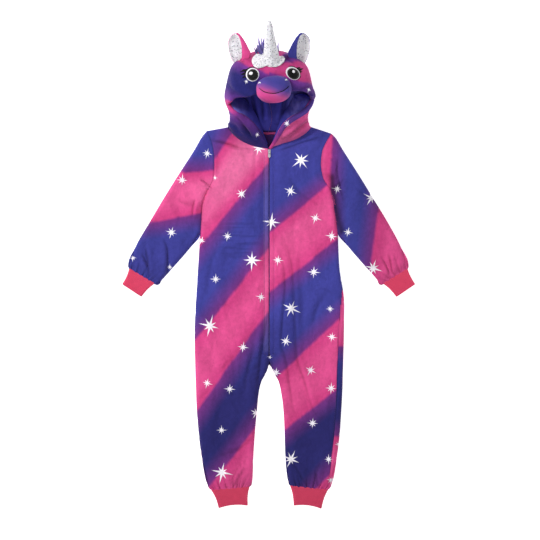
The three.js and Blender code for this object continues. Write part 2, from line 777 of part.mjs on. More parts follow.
function earSheet(side) {
  const sign = SIDES[side];
  const foot = vector(sign * EAR_FOOT.x, EAR_FOOT.y, EAR_FOOT.z);
  const tip = vector(sign * EAR_TIP[side].x, EAR_TIP[side].y, EAR_TIP[side].z);
  const axis = tip.clone().sub(foot).normalize();
  const facing = vector(sign * EAR_FACING.x, EAR_FACING.y, EAR_FACING.z);
  facing.addScaledVector(axis, -facing.dot(axis)).normalize();
  const across = axis.clone().cross(facing);
  const rows = EAR_SHAPE.map(({ part, half }) => {
    const radius = half / Math.sin(EAR_SCOOP);
    return Array.from({ length: EAR_POINTS }, (_, i) => {
      const angle = blend(-EAR_SCOOP, EAR_SCOOP, i / (EAR_POINTS - 1));
      const depth = radius * (Math.cos(angle) - Math.cos(EAR_SCOOP));
      const middle = foot.clone().lerp(tip, part);
      return middle.addScaledVector(across, radius * Math.sin(angle)).addScaledVector(facing, -depth);
    });
  });
  const sheet = gridSheet(rows);
  shareNormals([sheet]);
  return sheet;
}

function earPieces(side) {
  const sheet = earSheet(side);
  const seam = SEAM_GAP / 2;
  return {
    outer: without(wall(sheet, seam + EAR_CLOTH, seam, 0), HEAD),
    inner: without(wall(sheet, -seam, -seam - EAR_LINING, 0), HEAD),
  };
}

// The reach of the mane's tufts behind the horn.
const MANE_OUTLINE = [
  [-37, 570], [32, 570], [30, 606], [24, 621], [4, 617], [-14, 622], [-27, 627], [-36, 612],
];
const MANE_LOW = 62;
const MANE_HIGH = 76;

// ---------------------------------------------------------------- neck tape and zip

const TAPE_WALL = 0.9;
const NECK_TAPE_HALF = 4;
const NECK_TAPE_LINE = [[-72, 363.2], [-40, 360.5], [0, 360], [40, 360.5], [72, 363.2]];

function neckTape() {
  const upper = NECK_TAPE_LINE.map(([x, y]) => [x, y + NECK_TAPE_HALF]);
  const lower = NECK_TAPE_LINE.map(([x, y]) => [x, y - NECK_TAPE_HALF]);
  const low = BACK_INSIDE + SEAM_GAP;
  return board([...lower, ...upper.reverse()], low, low + TAPE_WALL);
}

const SLIDER = { low: ZIP_TOP - 12.5, high: ZIP_TOP - 1.5, half: 4, plate: 1.6 };
const SLIDER_TOP = FRONT_TOP + SEAM_GAP + SLIDER.plate;
const PIVOT = vector(0, ZIP_TOP - 7, SLIDER_TOP + 1.6); // the pull's crossbar
const PULL_REST = THREE.MathUtils.degToRad(7); // how far the pull droops on to the front

function zipTape(side) {
  const sign = SIDES[side];
  const edges = [sign * ZIP_HALF, sign * 14].sort((a, b) => a - b);
  const high = FRONT_INSIDE - SEAM_GAP;
  return boxBetween([edges[0], ZIP_END + 2, high - TAPE_WALL], [edges[1], ZIP_TOP - 2, high]);
}

function zipSlider() {
  const { low, high, half } = SLIDER;
  const bottom = FRONT_TOP + SEAM_GAP;
  const mouth = [[half, high - 2], [half - 1.6, high], [-half + 1.6, high], [-half, high - 2]];
  const plate = board([...mouth, [-half + 1.2, low], [half - 1.2, low]], bottom, SLIDER_TOP);
  const keel = boxBetween([-1.4, low + 1.5, FRONT_INSIDE - 1], [1.4, high - 1.5, bottom + 0.5]);
  const bridgeTop = PIVOT.z + 2.2;
  const post = (y) => boxBetween([-1, y - 0.6, SLIDER_TOP - 0.5], [1, y + 0.6, bridgeTop]);
  const bar = boxBetween([-1, PIVOT.y - 3.2, bridgeTop - 1], [1, PIVOT.y + 3.2, bridgeTop]);
  return joined(plate, keel, post(PIVOT.y - 2.6), post(PIVOT.y + 2.6), bar);
}

function zipPull() {
  const thick = 1.3;
  const bar = new THREE.CylinderGeometry(thick / 2, thick / 2, 6, 12).rotateZ(Math.PI / 2);
  const arm = (x) => boxBetween([x - 0.75, -9, -thick / 2], [x + 0.75, 0, thick / 2]);
  const tabOutline = [[-3, -7.5], [-3.4, -14.5], [-1.8, -17], [1.8, -17], [3.4, -14.5], [3, -7.5]];
  const tab = board(tabOutline, -thick / 2, thick / 2);
  return joined(bar, arm(-2.25), arm(2.25), tab);
}

const CHAIN_HALF = ZIP_HALF - 0.35;

function zipChain() {
  const low = FRONT_INSIDE - SEAM_GAP - TAPE_WALL;
  return boxBetween([-CHAIN_HALF, ZIP_END + 1, low], [CHAIN_HALF, SLIDER.low + 1, FRONT_TOP - 1]);
}

// ---------------------------------------------------------------- the scene graph

const onesie = new THREE.Group();

function addPiece(name, geometry, colour, { roughness = 0.95, metalness = 0, parent = onesie } = {}) {
  const flat = geometry.index ? geometry.toNonIndexed() : geometry;
  flat.computeVertexNormals();
  const mesh = new THREE.Mesh(flat, new THREE.MeshStandardMaterial({ color: colour, roughness, metalness }));
  mesh.name = name;
  parent.add(mesh);
  return mesh;
}

for (const side of Object.keys(SIDES)) {
  addPiece(`front_${side}`, clothWall(sheets[`front_${side}`]), COLOURS.pink);
  addPiece(`back_${side}`, clothWall(sheets[`back_${side}`]), COLOURS.blue);
  addPiece(`sleeve_${side}`, clothWall(sheets[`sleeve_${side}`]), COLOURS.pink);
  addPiece(`wrist_cuff_${side}`, clothWall(sheets[`wrist_cuff_${side}`]), COLOURS.rib);
  addPiece(`ankle_cuff_${side}`, clothWall(sheets[`ankle_cuff_${side}`]), COLOURS.rib);
  addPiece(`hood_${side}`, clothWall(sheets[`hood_${side}`]), COLOURS.hoodBlue);

  const liningFace = -FLEECE / 2 - LINING_GAP;
  addPiece(`hood_lining_${side}`, wall(liningSheet(side), liningFace, liningFace - LINING), COLOURS.lining);

  const eye = eyePieces(side);
  addPiece(`eye_white_${side}`, eye.white, COLOURS.eyeWhite);
  addPiece(`eye_pupil_${side}`, eye.pupil, COLOURS.eyeBlack, { roughness: 0.6 });

  const ear = earPieces(side);
  addPiece(`ear_outer_${side}`, ear.outer, side === "left" ? COLOURS.blue : COLOURS.pink);
  addPiece(`ear_inner_${side}`, ear.inner, COLOURS.glitter, { roughness: 0.5 });
  addPiece(`zip_tape_${side}`, zipTape(side), COLOURS.zipTape);
}

addPiece("muzzle", without(muzzleForm(), HEAD), COLOURS.muzzle);
addPiece("horn", without(hornForm(), HEAD), COLOURS.glitter, { roughness: 0.5 });
addPiece("horn_frill", frill(), COLOURS.glitter, { roughness: 0.5 });
addPiece("mane", without(board(MANE_OUTLINE, MANE_LOW, MANE_HIGH), HEAD), COLOURS.mane);
addPiece("neck_tape", neckTape(), COLOURS.neckTape);
addPiece("zip_chain", zipChain(), COLOURS.zipMetal, { roughness: 0.5 });
addPiece("zip_slider", zipSlider(), COLOURS.zipMetal, { roughness: 0.35, metalness: 0.8 });

const pullHinge = new THREE.Group();
pullHinge.position.copy(PIVOT);
pullHinge.rotation.x = PULL_REST;
onesie.add(pullHinge);
addPiece("zip_pull", zipPull(), COLOURS.zipMetal, { roughness: 0.35, metalness: 0.8, parent: pullHinge });

export default onesie;
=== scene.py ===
# A child's hooded fleece onesie with a pegasus hood, laid flat on its back.
# Shapes are set out in millimetres and made in metres. +X is the wearer's left, +Y runs up to the hood.
import math

import bmesh
import bpy
import numpy as np
from mathutils import Matrix, Vector
from mathutils.bvhtree import BVHTree


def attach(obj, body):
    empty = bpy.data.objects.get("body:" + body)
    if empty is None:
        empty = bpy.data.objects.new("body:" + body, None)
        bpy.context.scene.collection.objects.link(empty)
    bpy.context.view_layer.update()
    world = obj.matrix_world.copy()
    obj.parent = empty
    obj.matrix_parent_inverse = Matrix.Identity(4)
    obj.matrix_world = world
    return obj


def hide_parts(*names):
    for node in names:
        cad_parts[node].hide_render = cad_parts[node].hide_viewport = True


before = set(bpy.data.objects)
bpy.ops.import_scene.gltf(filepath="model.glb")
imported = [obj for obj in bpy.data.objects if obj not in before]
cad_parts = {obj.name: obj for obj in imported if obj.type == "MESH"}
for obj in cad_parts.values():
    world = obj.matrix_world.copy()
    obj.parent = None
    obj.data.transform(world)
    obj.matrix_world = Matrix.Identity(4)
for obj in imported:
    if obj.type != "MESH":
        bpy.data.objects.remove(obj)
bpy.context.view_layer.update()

MM = 0.001
FLEECE = 2.6  # wall of the fleece
BACK_Z, EDGE_Z, FRONT_Z = 1.3, 4.3, 7.3  # middle of the back layer, of a folded edge and of the front layer
LINING = 1.8
ZIP_HALF, ZIP_TOP, ZIP_END = 2.2, 318, -249
SIDES = {"right": -1, "left": 1}
GARMENT = "garment"

# ---------------------------------------------------------------- cuts of the garment

# Across half the body from the shoulder down: frontX, frontY, backX, backY, outX, outY.
SHOULDER = {
    "right": np.array([
        [115, 376, 115, 376, 171, 366], [92, 352, 80, 364, 160, 342], [62, 333, 40, 360.5, 153, 310],
        [30, 323, 0, 360, 151, 274], [ZIP_HALF, ZIP_TOP, 0, 318, 153, 240], [ZIP_HALF, 262, 0, 262, 169, 205],
    ]),
    "left": np.array([
        [115, 377, 115, 376, 170, 359], [92, 356, 80, 364, 157, 337], [62, 341, 40, 360.5, 145.5, 310],
        [30, 331, 0, 360, 142, 276], [ZIP_HALF, ZIP_TOP, 0, 318, 147, 242], [ZIP_HALF, 262, 0, 262, 169, 205],
    ]),
}
# Down the trunk: middleY, outX, outY.
TRUNK = {
    "right": [[262, 169, 205], [210, 183, 165], [110, 188, 95], [12, 194, 0], [-98, 201, -110],
              [-190, 204, -198], [ZIP_END, 203, -255], [-262, 202.5, -272]],
    "left": [[262, 169, 205], [210, 183, 165], [110, 187, 95], [12, 191, 0], [-98, 205, -110],
             [-190, 204, -198], [ZIP_END, 202.5, -255], [-262, 202, -272]],
}
# Down each leg: inX, inY, outX, outY.
LEGS = {
    "right": [[0, -260, 202.5, -272], [5, -285, 202, -293], [13, -303, 201.5, -312], [23, -322, 200.5, -335],
              [31, -359, 199.5, -370], [35, -400, 197.5, -408], [40, -455, 193.6, -455], [44.5, -522, 185.5, -524],
              [49, -604, 166.5, -612], [56, -612, 157, -621]],
    "left": [[0, -260, 202, -272], [8, -285, 201.3, -293], [17, -303, 200.8, -312], [27, -322, 200.3, -335],
             [35, -359, 198.7, -370], [40, -400, 196.5, -408], [43, -455, 193.5, -455], [45, -522, 185.5, -524],
             [54, -602, 168, -611], [59, -609, 159.5, -620]],
}
ANKLE_END = {"right": [61, -661, 138, -668], "left": [69, -661, 142, -669.5]}
ANKLE_ARCH = 5
# Down the sleeve: topX, topY, underX, underY.
SLEEVE = {
    "right": [[184, 350, 176.2, 192], [205, 314, 185.8, 160], [246, 250, 189.3, 88], [288, 183, 219.5, 45.5],
              [330, 112, 260.2, -1.5], [367.5, 46, 295.6, -41], [387, -5, 309.5, -55], [384, -12, 317.5, -51.5]],
    "left": [[180, 349, 171.5, 192], [201.5, 314, 178, 160], [242.4, 250, 187.2, 90], [283.5, 183, 219.5, 48],
             [326.6, 112, 260.5, 0.5], [361.5, 46, 296, -39.5], [382, -6, 308, -55], [379, -13, 315.5, -52]],
}
WRIST_END = {"right": [402, -54, 352, -86.5], "left": [399, -54, 350, -87]}

# The hood below the brow: half, sideZ, sideY, backY, leftHalf.
HOOD_RINGS = [[115, EDGE_Z, 376, 360, 115], [111, 16, 386, 366, 109], [108, 27, 395, 373, 106],
              [108, 38, 403, 387, 105], [108, 48, 411, 401, 106], [112, 56, 425, 418, 110],
              [119, 62, 441, 436, 122]]
FACE_EDGE = {
    "right": [[ZIP_HALF, ZIP_TOP, FRONT_Z], [17, 343, 30], [35, 370, 50], [58, 394, 68], [85, 412, 82],
              [107, 428, 74], [119, 443, 62]],
    "left": [[ZIP_HALF, ZIP_TOP, FRONT_Z], [20, 345, 28], [38, 376, 48], [56, 394, 66], [83, 411, 80],
             [105, 427, 76], [122, 452, 62]],
}
BROW = {
    "right": [[114, 445], [105, 452], [94, 459], [81, 461], [64, 461], [48, 465], [32, 470], [0, 474]],
    "left": [[119, 464], [112, 470], [101, 474], [84, 477], [62, 477], [42, 477], [20, 475.5], [0, 474]],
}
BROW_ARCH = {"right": 122, "left": 129, "sideZ": 62, "topZ": 150}
# Above the brow: half, leftHalf, sideY, sideZ, topY, topZ, floorY, floorZ.
HEAD_RINGS = [
    [122, 126, 461, 63, 488, 152, 458, BACK_Z], [118, 118, 486, 65, 507, 154, 484, BACK_Z],
    [112, 112, 514, 65, 527, 152, 513, BACK_Z], [105, 105, 537, 65, 543, 145, 536, 3],
    [96, 96, 551, 65, 554, 136, 549, 8], [75, 74, 568, 65, 567, 121, 563, 20],
    [50, 50, 579, 65, 577, 104, 574, 36], [30, 30, 584.5, 65, 582, 92, 580, 46],
    [0, 0, 587, 65, 586, 79, 585, 54],
]
FLOOR_SAG, FLOOR_POWER, CROWN_POWER = 12, 3, 2.2

# ---------------------------------------------------------------- curves and lines


def smooth(known, values, wanted):
    """Values at wanted on soft curves through the rows known, with no overshoot."""
    x, wanted = np.asarray(known, float), np.asarray(wanted, float)
    y = np.asarray(values, float)
    shape = y.shape[1:]
    y = y.reshape(len(x), -1)
    step = np.diff(x)[:, None]
    slope = np.diff(y, axis=0) / step
    lean = np.zeros_like(y)
    first, second = 2 * step[1:] + step[:-1], step[1:] + 2 * step[:-1]
    same = slope[1:] * slope[:-1] > 1e-12
    safe = np.where(same, slope[:-1], 1), np.where(same, slope[1:], 1)
    lean[1:-1] = np.where(same, (first + second) / (first / safe[0] + second / safe[1]), 0)
    lean[0], lean[-1] = slope[0], slope[-1]
    i = np.clip(np.searchsorted(x, wanted, side="right") - 1, 0, len(x) - 2)
    t = ((wanted - x[i]) / (x[i + 1] - x[i]))[:, None]
    h = step[i]
    out = ((2 * t**3 - 3 * t**2 + 1) * y[i] + (t**3 - 2 * t**2 + t) * h * lean[i]
           + (3 * t**2 - 2 * t**3) * y[i + 1] + (t**3 - t**2) * h * lean[i + 1])
    return out.reshape((len(wanted),) + shape)


def run_lengths(line):
    """How far along a line each of its points is."""
    return np.concatenate([[0], np.cumsum(np.linalg.norm(np.diff(line, axis=0), axis=1))])


def refined(rows, steps, along=None):
    """Rows of a table with steps soft ones in place of each gap."""
    rows = np.asarray(rows, float)
    along = run_lengths(rows.reshape(len(rows), -1)) if along is None else along
    wanted = np.concatenate([np.linspace(a, b, steps, endpoint=False) for a, b in zip(along, along[1:])])
    return smooth(along, rows, np.append(wanted, along[-1]))


def unit(rows):
    """Directions made as long as one."""
    return rows / np.linalg.norm(rows, axis=1, keepdims=True)


def points_along(line, fractions):
    """The places that lie at some fractions of a line's length."""
    line = np.asarray(line, float)
    lengths = run_lengths(line)
    return np.stack([np.interp(np.asarray(fractions) * lengths[-1], lengths, axis) for axis in line.T], axis=-1)


def fractions_of(line):
    """How far along a line each of its points is, from 0 to 1."""
    lengths = run_lengths(np.asarray(line, float))
    return lengths / lengths[-1]


def ease(low, high, value):
    """0 below low, 1 above high, and a soft step between."""
    t = np.clip((value - low) / (high - low), 0, 1)
    return t * t * (3 - 2 * t)


def from_line(places, line):
    """Distance from a line of points, on which side, and how far along it, for many places."""
    line = np.asarray(line, float)
    start, way = line[:-1], np.diff(line, axis=0)
    length = np.linalg.norm(way, axis=1)
    rel = places[:, None, :] - start[None]
    part = np.clip((rel * way).sum(-1) / length**2, 0, 1)
    near = np.linalg.norm(rel - part[..., None] * way, axis=-1)
    i, row = near.argmin(1), np.arange(len(places))
    side = np.sign(way[i, 0] * rel[row, i, 1] - way[i, 1] * rel[row, i, 0])
    lengths = np.concatenate([[0], np.cumsum(length)])
    return near[row, i], side, (lengths[i] + part[row, i] * length[i]) / lengths[-1]


def ripple(xy, size, seed):
    """Soft, even unevenness between -1 and 1, with swells about this far apart."""
    rng = np.random.default_rng(seed)
    total = np.zeros(len(xy))
    for _ in range(7):
        turn, phase = rng.uniform(0, math.tau, 2)
        reach = math.tau / (size * rng.uniform(0.7, 1.5))
        total += np.sin((xy[:, 0] * math.cos(turn) + xy[:, 1] * math.sin(turn)) * reach + phase)
    return total / 3.5


# ---------------------------------------------------------------- cloth


class Cloth:
    """The middle of a cloth wall. flat is where each point lies on the print, in millimetres."""

    def __init__(self, points, faces, flat=None):
        self.points = np.asarray(points, float)
        self.faces = np.asarray(faces, int)
        self.flat = self.points[:, :2].copy() if flat is None else np.asarray(flat, float)
        self.normals = None


def grid_cloth(rows, flip=False, closed=False, flat=None):
    """A sheet from rows of points. closed joins each row's end to its start, and flip turns the faces over."""
    rows = np.asarray(rows, float)
    count, columns = rows.shape[:2]
    last = columns if closed else columns - 1
    r, c = np.meshgrid(np.arange(count - 1), np.arange(last), indexing="ij")
    a, b = r * columns + c, r * columns + (c + 1) % columns
    corners = [a, a + columns, b + columns, b] if flip else [a, b, b + columns, a + columns]
    faces = np.stack([corner.ravel() for corner in corners], axis=-1)
    return Cloth(rows.reshape(-1, 3), faces, None if flat is None else np.asarray(flat).reshape(-1, 2))


def place_keys(points):
    """Whole numbers that are the same for points that meet."""
    return np.round(points * 500).astype(np.int64)


def sewn(*cloths):
    """Joins sheets where their points meet."""
    points = np.concatenate([cloth.points for cloth in cloths])
    flat = np.concatenate([cloth.flat for cloth in cloths])
    starts = np.cumsum([0] + [len(cloth.points) for cloth in cloths])
    faces = np.concatenate([cloth.faces + start for cloth, start in zip(cloths, starts)])
    _, kept, number = np.unique(place_keys(points), axis=0, return_index=True, return_inverse=True)
    return Cloth(points[kept], number.ravel()[faces], flat[kept])


def share_normals(cloths):
    """Gives every sheet the normals of the whole skin, so that sewn walls meet edge to edge."""
    points = np.concatenate([cloth.points for cloth in cloths])
    starts = np.cumsum([0] + [len(cloth.points) for cloth in cloths])
    faces = np.concatenate([cloth.faces + start for cloth, start in zip(cloths, starts)])
    number = np.unique(place_keys(points), axis=0, return_inverse=True)[1].ravel()
    a, b, c, d = (points[faces[:, i]] for i in range(4))
    normal = np.cross(c - a, d - b)
    total = np.zeros((number.max() + 1, 3))
    for i in range(4):
        np.add.at(total, number[faces[:, i]], normal)
    total /= np.maximum(np.linalg.norm(total, axis=1, keepdims=True), 1e-9)
    for cloth, start in zip(cloths, starts):
        cloth.normals = total[number[start:start + len(cloth.points)]]


def border_of(faces):
    """Edges that only one face has, as it turns."""
    edges = np.stack([faces, np.roll(faces, -1, axis=1)], axis=-1).reshape(-1, 2)
    edges = edges[edges[:, 0] != edges[:, 1]]
    size = faces.max() + 1
    return edges[~np.isin(edges[:, 0] * size + edges[:, 1], edges[:, 1] * size + edges[:, 0])]


def wall_of(cloth, outer, inner):
    """A closed wall between two offsets of a sheet: its points, faces and the sheet's point behind each."""
    count = len(cloth.points)
    offset = lambda far: cloth.points + cloth.normals * np.reshape(far, (-1, 1))
    border = border_of(cloth.faces)
    sides = np.stack([border[:, 1], border[:, 0], border[:, 0] + count, border[:, 1] + count], axis=-1)
    faces = np.concatenate([cloth.faces, cloth.faces[:, ::-1] + count, sides])
    source = np.tile(np.arange(count), 2)
    return np.concatenate([offset(outer), offset(inner)]), faces, source


def place_object(name, data):
    """A new object in the scene that shows a mesh, a lamp or a camera."""
    thing = bpy.data.objects.new(name, data)
    bpy.context.scene.collection.objects.link(thing)
    return thing


def mesh_piece(name, points, faces, material, flat=None, stripe=None, stars=None, sharp=40, inside=None,
               crease=None):
    """An object in metres from points in millimetres. flat gives its place on the cloth, stripe how far it
    is inside a pink band, stars the print's stars as x, y, radius and turn, inside a wall's inner material, and
    crease how deep in a crease it is, for the painted shade that its material darkens there."""
    kept = [list(dict.fromkeys(face)) for face in np.asarray(faces).tolist()]
    inner = [min(face) >= len(points) // 2 for face in kept if len(face) > 2]
    kept = [face for face in kept if len(face) > 2]
    mesh = bpy.data.meshes.new(name)
    mesh.from_pydata((np.asarray(points) * MM).tolist(), [], kept)
    corners = np.concatenate(kept).astype(int)
    if flat is not None:
        mesh.uv_layers.new(name="cloth").data.foreach_set("uv", (flat[corners] * MM).ravel())
    if stripe is not None:
        across = np.stack([stripe, np.zeros(len(stripe)) if crease is None else crease], axis=-1)[corners]
        mesh.uv_layers.new(name="stripe").data.foreach_set("uv", across.ravel())
    if stars is not None:
        mesh.uv_layers.new(name="star").data.foreach_set("uv", star_places(flat[corners], kept, stars).ravel())
    mesh.shade_smooth()
    if sharp:
        mesh.set_sharp_from_angle(angle=math.radians(sharp))
    mesh.materials.append(material)
    if inside:
        mesh.materials.append(inside)
        mesh.polygons.foreach_set("material_index", inner)
    return place_object(name, mesh)


def point_outwards(piece):
    """Turns every face of a closed piece outwards."""
    form = bmesh.new()
    form.from_mesh(piece.data)
    bmesh.ops.recalc_face_normals(form, faces=form.faces)
    form.to_mesh(piece.data)
    form.free()


def facing_up(cloth, first=None):
    """A sheet with its normals, turned over where it, or its first points, would face down."""
    share_normals([cloth])
    if cloth.normals[:first, 2].mean() < 0:
        cloth.normals, cloth.faces = -cloth.normals, cloth.faces[:, ::-1]
    return cloth


def walled_piece(name, cloth, outer, inner, material, stripe=None, stars=None):
    """A closed piece between two offsets of a sheet. stripe has a value for each of the sheet's points."""
    points, faces, source = wall_of(cloth, outer, inner)
    stripe = None if stripe is None else stripe[source]
    piece = mesh_piece(name, points, faces, material, cloth.flat[source], stripe, stars)
    point_outwards(piece)
    return piece


def settled(rows, times):
    """Rows of points with their heights evened out from row to row. The first and last rows stay."""
    rows = np.array(rows)
    for _ in range(times):
        rows[1:-1, ..., 2] = (rows[:-2, ..., 2] + rows[1:-1, ..., 2] * 2 + rows[2:, ..., 2]) / 4
    return rows


def points_of(mesh, kind="co"):
    """A mesh's points, or its normals, as rows."""
    values = np.empty(len(mesh.vertices) * 3)
    mesh.vertices.foreach_get(kind, values)
    return values.reshape(-1, 3)


def applied(piece):
    """Keeps what a piece's modifiers make as its plain mesh, and clears them."""
    bpy.context.view_layer.update()
    mesh = bpy.data.meshes.new_from_object(piece.evaluated_get(bpy.context.evaluated_depsgraph_get()))
    piece.modifiers.clear()
    piece.data = mesh
    return mesh


STAR_CELL = 4  # the room each star has in the star map, in radii


def star_places(flat, faces, stars):
    """Where each corner lies on its face's nearest star, in radii. Each star has a cell of its own in X."""
    counts = np.array([len(face) for face in faces])
    starts = np.concatenate([[0], np.cumsum(counts)[:-1]])
    middle = np.add.reduceat(flat, starts, axis=0) / counts[:, None]
    stars = np.asarray(stars, float)
    gap = np.linalg.norm(middle[:, None] - stars[None, :, :2], axis=-1) / stars[:, 2]
    nearest = np.repeat(gap.argmin(1), counts)
    x, y, radius, turn = stars[nearest].T
    turn = -np.radians(turn)
    local = (flat - np.stack([x, y], axis=-1)) / radius[:, None]
    out = np.stack([local[:, 0] * np.cos(turn) + local[:, 1] * np.sin(turn),
                    local[:, 1] * np.cos(turn) - local[:, 0] * np.sin(turn)], axis=-1)
    out[np.repeat(gap.min(1), counts) > 1.4] = 1.9
    out[:, 0] += STAR_CELL * nearest
    return out


def band_position(flat, lines, first=0):
    """How far each place is inside a pink band, in metres, or below zero inside a blue one. Bands are
    counted to the right of each line, from first: an even band is blue and an odd one pink."""
    lines = np.asarray(lines, float)
    way = unit(lines[:, 1] - lines[:, 0])
    rel = flat[:, None] - lines[None, :, 0]
    past = rel[..., 0] * way[:, 1] - rel[..., 1] * way[:, 0]
    count = np.cumprod(past > 0, axis=1).sum(1)
    row = np.arange(len(flat))
    before = np.where(count > 0, past[row, np.maximum(count - 1, 0)], 1e9)
    after = np.where(count < len(lines), -past[row, np.minimum(count, len(lines) - 1)], 1e9)
    pink = (first + count) % 2 * 2 - 1
    return pink * np.minimum(np.minimum(before, after), 90) * MM


# ---------------------------------------------------------------- shading


def colour(code):
    """A hex colour as the linear values that a shader takes."""
    part = [int(code[i:i + 2], 16) / 255 for i in (0, 2, 4)]
    return tuple(v / 12.92 if v <= 0.04045 else ((v + 0.055) / 1.055) ** 2.4 for v in part) + (1,)


class Nodes:
    """Short ways to add nodes to one tree and join them."""

    def __init__(self, tree):
        self.tree = tree

    def add(self, kind, inputs=None, **settings):
        node = self.tree.nodes.new(kind)
        for name, value in settings.items():
            setattr(node, name, value)
        for name, value in (inputs or {}).items():
            self.feed(node.inputs[name], value)
        return node

    def out(self, kind, inputs=None, **settings):
        """The first output of a new node."""
        return self.add(kind, inputs, **settings).outputs[0]

    def feed(self, socket, value):
        """Joins an output to a socket, or sets the socket's value. Text is a hex colour."""
        if isinstance(value, bpy.types.NodeSocket):
            self.tree.links.new(value, socket)
        else:
            socket.default_value = colour(value) if isinstance(value, str) else value

    def math(self, operation, *values):
        return self.out("ShaderNodeMath", dict(enumerate(values)), operation=operation)

    def times(self, a, b):
        return self.math("MULTIPLY", a, b)

    def plus(self, a, b):
        return self.math("ADD", a, b)

    def minus(self, a, b):
        return self.math("SUBTRACT", a, b)

    def vector_math(self, operation, a, b, output=0):
        return self.add("ShaderNodeVectorMath", {0: a, 1: b}, operation=operation).outputs[output]

    def parts(self, vector):
        return self.add("ShaderNodeSeparateXYZ", {"Vector": vector}).outputs

    def vector(self, x=0.0, y=0.0, z=0.0):
        return self.out("ShaderNodeCombineXYZ", {"X": x, "Y": y, "Z": z})

    def place(self):
        return self.add("ShaderNodeTexCoord").outputs["Object"]

    def mapped(self, vector, **settings):
        return self.out("ShaderNodeMapping", {"Vector": vector, **settings})

    def lit(self, coloured, value):
        return self.out("ShaderNodeHueSaturation", {"Color": coloured, "Value": value})

    def ease(self, value, low, high):
        node = self.add("ShaderNodeMapRange", {"Value": value, "From Min": low, "From Max": high})
        node.interpolation_type = "SMOOTHSTEP"
        return node.outputs["Result"]

    def mix(self, part, a, b, blend="MIX"):
        node = self.add("ShaderNodeMix", data_type="RGBA", blend_type=blend)
        for index, value in ((0, part), (6, a), (7, b)):
            self.feed(node.inputs[index], value)
        return node.outputs[2]

    def noise(self, vector, scale, detail=2.0, rough=0.5, distortion=0.0):
        return self.add("ShaderNodeTexNoise", {"Vector": vector, "Scale": scale, "Detail": detail, "Roughness": rough,
                                               "Distortion": distortion}).outputs["Fac"]

    def uv(self, name):
        return self.out("ShaderNodeUVMap", uv_map=name)

    def group(self, group, **inputs):
        node = self.tree.nodes.new("ShaderNodeGroup")
        node.node_tree = group
        for name, value in inputs.items():
            self.feed(node.inputs[name.replace("_", " ")], value)
        return node.outputs


def shader_group(name, inputs, outputs):
    """A node group with named sockets. inputs are name: (kind, value)."""
    tree = bpy.data.node_groups.new(name, "ShaderNodeTree")
    n = Nodes(tree)
    for label, (kind, value) in inputs.items():
        socket = tree.interface.new_socket(label, in_out="INPUT", socket_type=f"NodeSocket{kind}")
        if value is not None:
            n.feed(socket, value)
    for label, kind in outputs.items():
        tree.interface.new_socket(label, in_out="OUTPUT", socket_type=f"NodeSocket{kind}")
    return tree, n, tree.nodes.new("NodeGroupInput").outputs, tree.nodes.new("NodeGroupOutput").inputs


def nap_group():
    """Brushed fleece: fine fibres, clumped pile, and broad strokes where the pile lies another way."""
    tree, n, into, out = shader_group(
        "Brushed nap",
        {"Vector": ("Vector", None), "Fibre": ("Float", 1500.0), "Clump": ("Float", 170.0), "Stroke": ("Float", 16.0)},
        {"Height": "Float", "Shade": "Float", "Crease": "Float"})
    drawn = n.mapped(into["Vector"], Scale=(1, 0.45, 1))
    fibre = n.noise(drawn, into["Fibre"], 2, 0.6)
    clump = n.noise(drawn, into["Clump"], 3, 0.6, 0.6)
    stroke = n.noise(drawn, into["Stroke"], 4, 0.55, 1.2)
    n.feed(out["Height"], n.plus(n.times(fibre, 0.45), n.times(clump, 0.8)))
    broad = n.ease(stroke, 0.3, 0.7)
    rumple = n.noise(into["Vector"], 24.0, 3, 0.55, 1.6)
    n.feed(out["Crease"], n.ease(n.math("ABSOLUTE", n.minus(rumple, 0.5)), 0.0, 0.16))
    n.feed(out["Shade"], n.plus(n.times(broad, 0.6), n.times(clump, 0.4)))
    return tree


def bands_group():
    """Printed bands from the stripe map: how far inside a pink band each place is, in metres."""
    tree, n, into, out = shader_group(
        "Printed bands",
        {"Vector": ("Vector", None), "Waver": ("Float", 0.5), "Pink": ("Color", "e05490"),
         "Deep Pink": ("Color", "d24586"), "Purple": ("Color", "7a3682"),
         "Blue": ("Color", "404190"), "Reach": ("Float", 0.062)},
        {"Color": "Color"})
    inside = n.parts(into["Vector"])[0]
    inside = n.plus(inside, n.times(n.minus(into["Waver"], 0.5), 0.005))
    spread = n.add("ShaderNodeMapRange", {"Value": inside, "From Min": n.times(into["Reach"], -1.0),
                                          "From Max": -0.006}).outputs["Result"]
    blue = n.mix(n.math("POWER", spread, 1.35), into["Blue"], into["Purple"])
    pink = n.mix(n.ease(inside, 0.002, 0.045), into["Deep Pink"], into["Pink"])
    n.feed(out["Color"], n.mix(n.ease(inside, -0.006, 0.004), blue, pink))
    return tree


